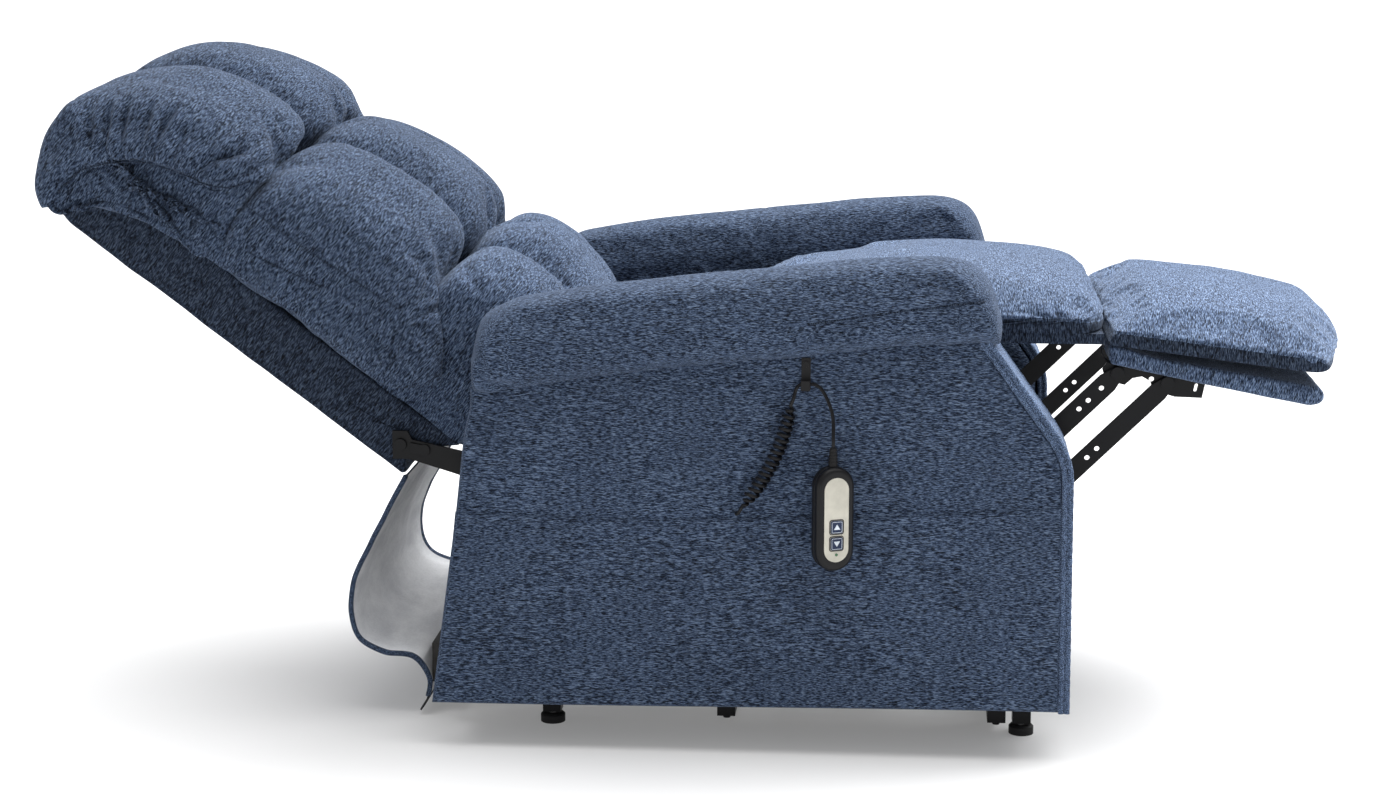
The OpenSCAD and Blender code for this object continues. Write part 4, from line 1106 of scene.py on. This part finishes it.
def make_panel(side, word):
    """Cloth over the arm's side, tight between its seams."""
    grid, rim = panel_grid(190, 100, bottom_z, lambda x: seam_z(np.minimum(x, ROLL_FRONT)) + 9)
    flat = grid.reshape(-1, 2)
    place = upright(flat, 0)
    wave = 0.8 * wander(place, 150, 8 + side) + 0.35 * wander(place * [0.5, 1, 1], 40, 9 + side)
    under = seam_z(flat[:, 0]) - flat[:, 1]
    under_roll = -1.8 * bell(under, 12)
    ripple = np.sin(flat[:, 0] / 11 + 4 * np.sin(flat[:, 0] / 60)) * 0.5 * bell(under, 30)
    front = ARM_OUT + (wave + under_roll + ripple).reshape(rim.shape) - roundoff(rim, 7)
    back = np.full_like(front, ARM_OUT - 9)
    obj = cushion_sheet(f"arm_panel_cover_{word}", grid, (front, back), side)
    dress(obj, "cloth_arm", "carriage", "blue_cloth", [f"arm_panel_{word}"])


def make_pocket(side, word):
    """Pocket over the lower part of the arm's side, open along its hemmed top."""
    grid, rim = panel_grid(170, 80, lambda x: bottom_z(x) + 1.5, pocket_z)
    top = pocket_z(grid[..., 0]) - grid[..., 1]
    flat = grid.reshape(-1, 2)
    place = upright(flat, 0)
    wave = (0.9 * wander(place, 120, 11 + side) + 0.3 * wander(place, 36, 12 + side)).reshape(rim.shape)
    hem = -1.3 * bell(top - 16, 1.6) + 1.8 * bell(top - 6, 6)
    ends = smoothstep(0, 40, rim)
    front = ARM_OUT + POCKET_T + wave * ends + hem - roundoff(rim, 5) * 0.9
    lip = 1.2 * np.exp(-top / 3)
    back = np.full_like(front, ARM_OUT - 1)
    obj = cushion_sheet(f"side_pocket_{word}", grid, (front - lip, back), side)
    dress(obj, "cloth_arm", "carriage", "blue_cloth")
    return obj


def border_path():
    """Line down the arm's front edge, rounded at its two bends."""
    top = (FRONT_TOP[0] - 10, FRONT_TOP[1] + 14)
    corners = np.array([FRONT_EDGE[0], FRONT_EDGE[2], FRONT_BREAK, top], float)
    fine = [corners[0]]
    for i, radius in ((1, 16), (2, 20)):
        ends = []
        for far in (corners[i - 1] - corners[i], corners[i + 1] - corners[i]):
            ends.append(corners[i] + unit(far) * min(radius, 0.45 * np.linalg.norm(far)))
        fine.extend(round_corner(ends[0], corners[i], ends[1]))
    fine.append(corners[3])
    return evenly(np.array(fine), 110)


def make_border(side, word):
    """Padded strip down the arm's front, with a corded seam along each edge."""
    path = border_path()
    low, high = HALF + 2, ARM_OUT + 1
    middle, reach = (low + high) / 2, (high - low) / 2
    out = sideways(path)
    rings = []
    turn = np.linspace(0, 2 * math.pi, 56, endpoint=False)
    c, s = np.cos(turn), np.sin(turn)
    across = np.sign(c) * np.abs(c) ** 0.35 * reach
    lift = BORDER_T / 2 + np.sign(s) * np.abs(s) ** 0.55 * BORDER_T / 2
    for i in range(len(path)):
        near = min(i, len(path) - 1 - i)
        k = 1 - 0.35 * max(0, 1 - near / 2.5) ** 2
        flat = path[i] + out[i] * lift[:, None] * k
        rings.append(upright(flat, side * (middle + across)))
    obj = skin(f"arm_border_cover_{word}", rings)
    p = points_of(obj)
    push(obj, 0.5 * wander(p, 45, 13 + side) + 0.35 * wander(p, 17, 14 + side))
    dress(obj, "cloth_border_pale_and_lit", "carriage", "blue_cloth", [f"arm_border_{word}"])
    for edge, y in (("outer", high - 1.8), ("inner", low + 2.6)):
        for line, far in (("rear", 1.6), ("front", BORDER_T - 3.6)):
            route = upright(path + far * out, side * y)
            piping = tube(f"piping_{line}_{edge}_{word}", route, 3.9, 12)
            p = points_of(piping)
            push(piping, 0.25 * np.sin(p[:, 2] / 2.4))
            dress(piping, "cloth_border_pale_and_lit", "carriage", "blue_cloth")


def make_inner_cover(side, word):
    """Cloth over the board that faces the seat."""
    grid, rim = panel_grid(60, 34, lambda x: bottom_z(x) + 7, lambda x: seam_z(np.minimum(x, ROLL_FRONT)) - 6)
    grid[..., 0] = 65 + (grid[..., 0] - 65) * 0.985
    front = np.full(rim.shape, HALF - 1.6) + roundoff(rim, 4) * 0.35
    back = np.full_like(front, HALF + 0.5)
    obj = cushion_sheet(f"arm_inner_cover_{word}", grid, (front, back), side)
    dress(obj, "cloth_arm", "carriage", "dark_cloth")


# ---------- seat ----------
SEAT_FRONT = 541
CUSHION_TOP = [
    (-2, 0), (0, 0.14), (-1, 0.32), (-8, 0.5), (-22, 0.63), (-50, 0.76), (-90, 0.87), (-131, 0.93),
    (-206, 0.99), (-271, 0.96), (-303, 0.93), (-321, 0.86), (-334, 0.76), (-349, 0.7), (-377, 0.62),
    (-411, 0.56), (-446, 0.42), (-475, 0.22), (-493, 0.08), (-496, 0),
]
BAND_H = 14
SIDE_ROUND = 52


def end_rows(half_width, start, steps, spacing):
    """Rows of a cushion from side to side: y, and a share from 0 to 1 that rounds its sides."""
    rows = [(y, 0.0) for y in np.arange(0, start, spacing)]
    rows += [(start + (half_width - start) * far, k) for far, k in quarter(steps)]
    return mirrored(rows)


def seam_gathers(p, middle, drift):
    """Small folds that run across a cushion's seam, all the way round it."""
    around = np.arctan2(p[:, 1], p[:, 0] - middle) * 260
    return np.sin(around / 7 + 2 * np.sin(around / drift))


def make_seat_cushion():
    """Seat with a rolled front, sewn to a narrow dark band along its lower edge."""
    outline = [(SEAT_FRONT + x, share) for x, share in CUSHION_TOP]
    top = evenly(curve_through(np.array(outline) * [1, CROWN], 10), 150)
    base = np.column_stack([np.linspace(top[-1, 0], top[0, 0], 32)[1:-1], np.zeros(30)])
    ring = np.vstack([top, base])
    rows = end_rows(SEAT_Y, SEAT_Y - SIDE_ROUND, 16, 6.5)
    rings = []
    for y, shrink in rows:
        u = abs(y) / SEAT_Y
        k = 1 - SIDE_DROP / CROWN * u**3.2
        share = ring[:, 1] / CROWN
        high = ring[:, 1] * np.where(share > 0.5, k, 1 - (1 - k) * share)
        high = high * (1 - shrink) + np.minimum(high, BAND_H + 5) * shrink
        x = ring[:, 0] + 8 * shrink * smoothstep(-180, -60, -ring[:, 0])
        x = x - (12 * u**8 + 18 * shrink) * smoothstep(420, SEAT_FRONT, ring[:, 0])
        rings.append(upright(np.column_stack([x, CUSHION_Z + high]), y))
    obj = skin("seat_cushion_cover", rings)
    p = points_of(obj)
    sewn = 1 - smoothstep(BAND_H, BAND_H + 12, p[:, 2] - CUSHION_Z)
    stuff(obj, sewn, 1.5, 0.02, 12, 8)
    p = points_of(obj)
    high = p[:, 2] - CUSHION_Z
    rim = bell(high - BAND_H - 2, 2.4) * smoothstep(2, 6, high)
    amount = -2.0 * rim + 1.6 * wander(p, 80, 15) + 0.6 * wander(p * [1, 0.6, 1], 28, 16)
    amount += 0.9 * seam_gathers(p, 300, 31) * bell(high - BAND_H - 7, 7)
    push(obj, amount * smoothstep(0, 4, high))
    dress(obj, "cloth_seat_lit", "seat", "blue_cloth", ["seat_cushion"])
    darken(obj, lambda c: c[:, 2] - CUSHION_Z < BAND_H)


def darken(obj, chosen):
    """Gives the faces whose centres are chosen dark cloth, as the piece's second material."""
    mesh = obj.data
    mesh.materials.append(MATERIALS["cloth_dark"])
    centres = np.zeros(len(mesh.polygons) * 3)
    mesh.polygons.foreach_get("center", centres)
    mask = chosen(centres.reshape(-1, 3) / MM)
    mesh.polygons.foreach_set("material_index", mask.astype(int))
    mesh.update()


def soft_board(name, outline, y_half, radius, place, around=180):
    """Board wrapped in cloth: an outline across its thickness, with rounded ends at its sides."""
    ring = evenly(rounded(outline, radius), around, True)
    centre = ring.mean(0)
    rings = []
    for y, shrink in end_rows(y_half, y_half - radius, 6, 8):
        away = ring - centre
        far = np.maximum(np.abs(away).max(0), 1)
        p = ring - away / far * radius * shrink
        rings.append(place(p[:, 0], p[:, 1], y))
    return skin(name, rings)


def make_rear_deck():
    outline = [(-150, 453), (26, 453), (28, 493), (20, 501), (-4, 502), (-60, 486), (-140, 467), (-150, 461)]

    def place(x, z, y):
        return np.stack(np.broadcast_arrays(x, y, z), -1)

    obj = soft_board("rear_deck_cover", outline, HALF - 30, 6, place)
    push(obj, 0.8 * wander(points_of(obj), 60, 17) - 0.8)
    dress(obj, "cloth_dark", "seat", "dark_cloth", ["rear_deck"])


# ---------- footrest ----------
PAD_OUT = [
    (-8, 0), (60, 0), (130, 0), (200, 0), (270, 0), (301, 0.02), (318, 0.12), (324, 0.27), (319, 0.5),
    (301, 0.74), (268, 0.9), (200, 1), (130, 1.02), (70, 1), (30, 0.93), (4, 0.78), (-9, 0.55), (-13, 0.25),
]
PAD_CROWN = 68
# Height of the pad's dark band: partly the real band under the seam, partly painted shade below it.
PAD_BAND = 15


def pad_base(a):
    return 28.5 + 0.0725 * a


def make_footrest_pad():
    """Footrest pad with rounded front corners and a dark band under its seam, made tall enough that it also
    paints the shade under the seam.
    """
    outline = evenly(curve_through(np.array(PAD_OUT) * [1, PAD_CROWN], 10, True), 190, True)
    outline[:, 1] = np.maximum(outline[:, 1], 0)
    rings = []
    for y, shrink in end_rows(PAD_Y, PAD_Y - SIDE_ROUND, 16, 6.5):
        u = abs(y) / PAD_Y
        k = 1 - 0.52 * u**3
        a = outline[:, 0]
        slant = max(44 * u**4, 13 * (max(-y, 0) / 100) ** 1.2)
        a = np.where(a > 150, a - slant * (a - 150) / 170, a + 3 * u**6)
        b = outline[:, 1] * k
        b = b * (1 - shrink) + np.minimum(b, PAD_BAND + 5) * shrink
        a = a - 4 * shrink * smoothstep(120, 320, a)
        rings.append(on_board(a, pad_base(a) + b, y))
    obj = skin("footrest_pad_cover", rings)
    high = board_height(points_of(obj))
    sewn = 1 - smoothstep(PAD_BAND, PAD_BAND + 12, high)
    stuff(obj, sewn, 1.5, 0.02, 12, 7)
    p = points_of(obj)
    high = board_height(p)
    rim = bell(high - PAD_BAND - 1.5, 2.2)
    amount = -2.2 * rim + 1.5 * wander(p, 85, 18) + 0.6 * wander(p * [1, 0.6, 1], 30, 19)
    amount += seam_gathers(p, 700, 27) * bell(high - PAD_BAND - 7, 7)
    push(obj, amount * smoothstep(0, 3, high))
    dress(obj, "cloth_footrest_lit", "footrest", "blue_cloth", ["footrest_pad"])
    # dark band under the seam, partly the real band and partly painted shade
    darken(obj, lambda c: board_height(c) < PAD_BAND)


def board_height(p):
    """Height above the pad's base."""
    c, s = math.cos(BOARD_SLOPE), math.sin(BOARD_SLOPE)
    x, z = p[:, 0] - BOARD_AT[0], p[:, 2] - BOARD_AT[1]
    return x * s + z * c - pad_base(x * c - z * s)


def make_footrest_board():
    outline = [
        (-4, 2), (0, 0), (267, 0), (280, 6), (284, 14), (281, 23), (272, 28), (60, 22), (14, 27), (-7, 27),
        (-9, 18),
    ]
    obj = soft_board("footrest_board_cover", outline, HALF - 20, 7, on_board, 200)
    p = points_of(obj)
    push(obj, 0.9 * wander(p, 70, 20) + 0.4 * wander(p, 26, 21) - 0.4)
    dress(obj, "cloth_footrest_lit", "footrest", "blue_cloth", ["footrest_board"])


STRAP = [(3, -1.2), (-8, 1), (-13, 10), (-13.5, 20)]
STRAP_Y = (211.5, 233.5)
STRAP_T = 1.6


def make_straps():
    """Webbing loops that hold the board's cloth at its rear edge."""
    path = curve_through(STRAP, 10)
    out = -sideways(path) * STRAP_T / 2
    across = np.linspace(*STRAP_Y, 12)
    for side, word in SIDES:
        rings = []
        for middle, half in zip(path, out):
            upper = on_board(*(middle + half), side * across)
            lower = on_board(*(middle - half), side * across[::-1])
            rings.append(np.vstack([upper, lower]))
        dress(skin(f"board_strap_{word}", rings), "webbing", "footrest", "webbing")
    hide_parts("footrest_straps")


# ---------- flap ----------
FLAP_PATH = [
    (-408.8, 343), (-438, 292), (-462, 250), (-485, 200), (-494, 150), (-482, 108), (-444, 88), (-404, 84),
    (-382, 56), (-384, 28),
]
FLAP_Y = 260
FLAP_HEM = 8


def make_flap():
    """Cloth that hangs from the back's lower edge to the rear batten, lined on its inside."""
    path = evenly(curve_through(FLAP_PATH, 8), 90)
    out = sideways(path)
    rows, columns = len(path), 120
    ys = np.linspace(-FLAP_Y, FLAP_Y, columns)
    grid = np.zeros((rows, columns, 3))
    free = np.sin(np.linspace(0, math.pi, rows)) ** 0.8
    for i in range(rows):
        for j, y in enumerate(ys):
            place = Vector((path[i, 0] / 90, y / 75, path[i, 1] / 90))
            wave = 4.5 * noise.noise(place) + 1.4 * noise.noise(place * 3)
            sag = 3.5 * (abs(y) / FLAP_Y) ** 4
            x, z = path[i] + out[i] * (wave - sag) * free[i]
            grid[i, j] = (x, y, z)
    rim = FLAP_Y - np.abs(ys)
    hem = (1.2 + 2.4 * bell(rim, 7))[None, :, None] * upright(out, 0)[:, None, :]
    points = [(grid + hem).reshape(-1, 3), (grid - hem).reshape(-1, 3)]
    faces = sheet_faces(rows, columns)
    inside = (np.minimum(rim[:-1], rim[1:]) >= FLAP_HEM).astype(int)
    slots = np.column_stack([0 * inside, inside]).ravel().tolist() * (rows - 1)
    slots += [0] * (len(faces) - len(slots))
    obj = new_object("rear_flap_cloth", np.vstack(points), faces)
    obj.data.materials.append(MATERIALS["cloth_flap"])
    obj.data.materials.append(MATERIALS["lining"])
    outward(obj)
    obj.data.polygons.foreach_set("material_index", slots)
    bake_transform(obj)
    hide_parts("rear_flap")


def make_tab():
    """Hook-and-loop strip that fastens the flap to the batten."""
    path = curve_through([(-384, 27.5), (-388, 18), (-395, 8)], 6)
    out = -sideways(path)
    rings = []
    for y in np.linspace(-FLAP_Y, FLAP_Y, 90):
        curl = 1.2 * noise.noise(Vector((y / 40, 0, 0)))
        upper = path + out * (curl + 1.25)
        lower = (path + out * (curl - 1.25))[::-1]
        rings.append(upright(np.vstack([upper, lower]), y))
    dress(skin("flap_strip", rings), "webbing", "carriage", "webbing", ["flap_tab"])


# ---------- handset ----------
def in_handset(p):
    """Points of the handset's own frame, whose -Y side is its face, in the frame's axes."""
    c, s = math.cos(HANDSET_TURN), math.sin(HANDSET_TURN)
    p = np.asarray(p, float)
    x = HANDSET_AT[0] + p[..., 0] * c - p[..., 1] * s
    y = HANDSET_AT[1] + p[..., 0] * s + p[..., 1] * c
    return np.stack([x, y, HANDSET_AT[2] + p[..., 2]], -1)


def stadium(width, height):
    """Outline of a bar with round ends."""
    r = width / 2
    top = [(r * math.cos(a), (height - width) / 2 + r * math.sin(a)) for a in np.linspace(0, math.pi, 24)]
    low = [(-x, -z) for x, z in top]
    return evenly(np.array(top + low), 120, True)


def lofted_handset(name, width, height, levels):
    """Skin through stadium outlines: levels are y, and how far the outline is drawn in there."""
    rings = [upright(stadium(width - 2 * inset, height - 2 * inset), y) for y, inset in levels]
    return skin(name, in_handset(rings))


def round_levels(y_end, radius, steps=7):
    """Levels of a rounded edge, that ends in the face at y_end."""
    way = 1 if y_end > 0 else -1
    return [(y_end - way * radius * (1 - far), radius * k) for far, k in quarter(steps)]


def make_handset():
    for word, way, joint in (("front", -1, [(-0.4, 0.7)]), ("rear", 1, [(0.0, 1.2), (0.4, 0.7)])):
        face = way * SHELL_HALF
        levels = joint + [(way * 0.7, 0.15), (way * 1.4, 0)] + round_levels(face, 6.5)
        levels += [(face, inset) for inset in (9, 14, 19, 23)]
        obj = lofted_handset(f"handset_{word}_cover", HANDSET_W, HANDSET_H, levels)
        dress(obj, "handset_plastic", "handset", "handset_plastic", [f"handset_{word}_shell"])
    face = -SHELL_HALF - FACE_RISE
    plate = [(-SHELL_HALF + 0.5, 0), (-SHELL_HALF - 0.5, 0)] + round_levels(face, 0.6, 4)
    plate += [(face, inset) for inset in (3, 8, 12, 15)]
    obj = lofted_handset("handset_face_plate", HANDSET_W - 18, HANDSET_H - 26, plate)
    dress(obj, "face_ivory", "handset", "face_ivory", ["handset_face"])
    for word, z in BUTTON_Z.items():
        make_button(word, z)
    make_lamp()


def square(width, corner):
    h = width / 2
    return evenly(rounded([(-h, -h), (h, -h), (h, h), (-h, h)], corner), 64, True)


def make_button(word, z):
    """Square key with a soft rim, a raised arrow, and a pale line around it."""

    def place(flat, y):
        return in_handset(upright(flat + [0, z], y))

    def outline(name, width, corner, y, radius, material, body, slot):
        line = tube(f"button_{word}_{name}", place(square(width, corner), y), radius, 8, True)
        dress(line, material, body, slot)

    face = -SHELL_HALF - 3
    levels = [(2.4 - SHELL_HALF, 0), (face + 1.4, 0)] + round_levels(face, 1.1, 5)
    levels += [(face + 0.25, 2.2), (face + 0.45, 4.5), (face + 0.5, 7.5)]
    rings = [place(square(BUTTON_W - 2 * inset, max(2.6 - inset, 0.3)), y) for y, inset in levels]
    dress(skin(f"button_{word}_cap", rings), "button_blue", word, "button_blue", [f"button_{word}"])
    point = 1 if word == "up" else -1
    arrow = rounded([(-4.4, -3.2 * point), (4.4, -3.2 * point), (0, 3.9 * point)], 0.7)
    rings = [place(arrow * size, face + y) for y, size in ((0.6, 1.0), (0.05, 1.0), (-0.1, 0.9))]
    dress(skin(f"button_{word}_arrow", rings), "button_mark", word, "face_ivory")
    outline("line", BUTTON_W - 3, 1.8, face + 0.3, 0.36, "button_mark", word, "face_ivory")
    rim = -SHELL_HALF - 1.2
    outline("surround", BUTTON_W + 2.2, 3.2, rim, 0.55, "handset_plastic", "handset", "handset_plastic")


def make_lamp():
    """Small round lens below the buttons."""
    turn = np.linspace(0, 2 * math.pi, 32, endpoint=False)
    circle = np.column_stack([np.cos(turn), np.sin(turn)])
    levels = ((0.5, 2.0), (1.6, 2.0), (2.0, 1.6), (2.2, 0.8))
    rings = in_handset([upright(r * circle + [0, LAMP_Z], -SHELL_HALF - y) for y, r in levels])
    dress(skin("handset_lamp", rings), "lamp", "handset", "lamp", ["indicator_light"])


# ---------- carried-over construction ----------
NODE_FINISH = {
    "frame_steel": [
        "base_frame", "rear_lift_arms", "front_lift_arms", "carriage_frame", "seat_frame", "footrest_cranks",
        "front_links", "rear_links", "footrest_brackets", "back_bars", "bracket_bolts", "bracket_rivets",
        "crank_pins", "release_lever_right", "release_lever_left",
    ],
    "pin_steel": ["base_pins", "front_lift_pins", "carriage_pins", "guide_pins", "foot_studs"],
    "spring_steel": ["seat_springs"],
    "rod_steel": ["actuator_rod"],
    "foot_rubber": ["foot_pads"],
    "black_plastic": ["tube_caps", "actuator_housing", "actuator_motor", "control_box", "cord_clip"],
    "handset_plastic": ["strain_relief"],
    "timber": ["back_frame"],
    "cloth_shell": ["arm_frame_right", "arm_frame_left"],
    "batten": ["rear_batten"],
    "cloth_dark": ["seat_platform"],
}


def dress_nodes():
    for material, nodes in NODE_FINISH.items():
        for name in nodes:
            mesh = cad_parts[name].data
            if not mesh.materials:
                mesh.materials.append(None)
            for i in range(len(mesh.materials)):
                mesh.materials[i] = MATERIALS[material]


# ---------- floor and light ----------
FLOOR_REACH = 70000
FLOOR_GLOW = 0.2
WORLD_LIGHT = 0.5
SUN_LIGHT = 5.6
SEAT_LIGHT = 62


def make_floor():
    """Pale floor that runs on far beyond the chair. Its slight glow lightens the shadow."""
    r = FLOOR_REACH
    points = [(-r, -r, 0), (r, -r, 0), (r, r, 0), (-r, r, 0)]
    floor = new_object("floor", points, [(0, 1, 2, 3)])
    m = Nodes("floor")
    cloud = m.grain(0.8, 3.0)
    shade = m.ramp(cloud, (0.3, (0.60, 0.60, 0.605)), (0.7, (0.64, 0.64, 0.64)))
    m.finish(
        Base_Color=shade,
        Roughness=0.75,
        Specular_IOR_Level=0.2,
        Emission_Color=(1, 1, 1, 1),
        Emission_Strength=FLOOR_GLOW,
    )
    floor.data.materials.append(m.material)


def add_light(name, kind, place, target, power, size):
    data = bpy.data.lights.new(name, kind)
    data.energy = power
    if kind == "SUN":
        data.angle = math.radians(size)
    else:
        data.size = size
    light = place_object(name, data)
    light.location = place
    light.rotation_euler = (Vector(target) - Vector(place)).to_track_quat("-Z", "Y").to_euler()


def light_studio():
    world = bpy.data.worlds.new("studio")
    world.use_nodes = True
    background = world.node_tree.nodes["Background"]
    background.inputs["Color"].default_value = (1, 1, 1, 1)
    background.inputs["Strength"].default_value = WORLD_LIGHT
    bpy.context.scene.world = world
    add_light("top", "SUN", (0.8, 1.2, 4.0), (0.0, 0.0, 0.0), SUN_LIGHT, 80)
    add_light("seat", "AREA", (1.5, 0.5, 2.4), (0.6, 0.0, 0.5), SEAT_LIGHT, 1.4)
    bpy.context.scene.view_settings.view_transform = "Standard"


# ---------- assembly ----------
MATERIALS = make_materials()
add_camera()
make_leads()
dress_nodes()
make_head_pillow()
make_middle_pillow()
make_lumbar_pillow()
make_back_shell()
for side, word in SIDES:
    make_roll(side, word)
    make_panel(side, word)
    make_border(side, word)
    make_inner_cover(side, word)
pockets = [make_pocket(side, word) for side, word in SIDES]
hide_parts("side_pockets")
make_seat_cushion()
make_rear_deck()
make_footrest_pad()
make_footrest_board()
make_straps()
make_flap()
make_tab()
make_handset()
make_floor()
light_studio()
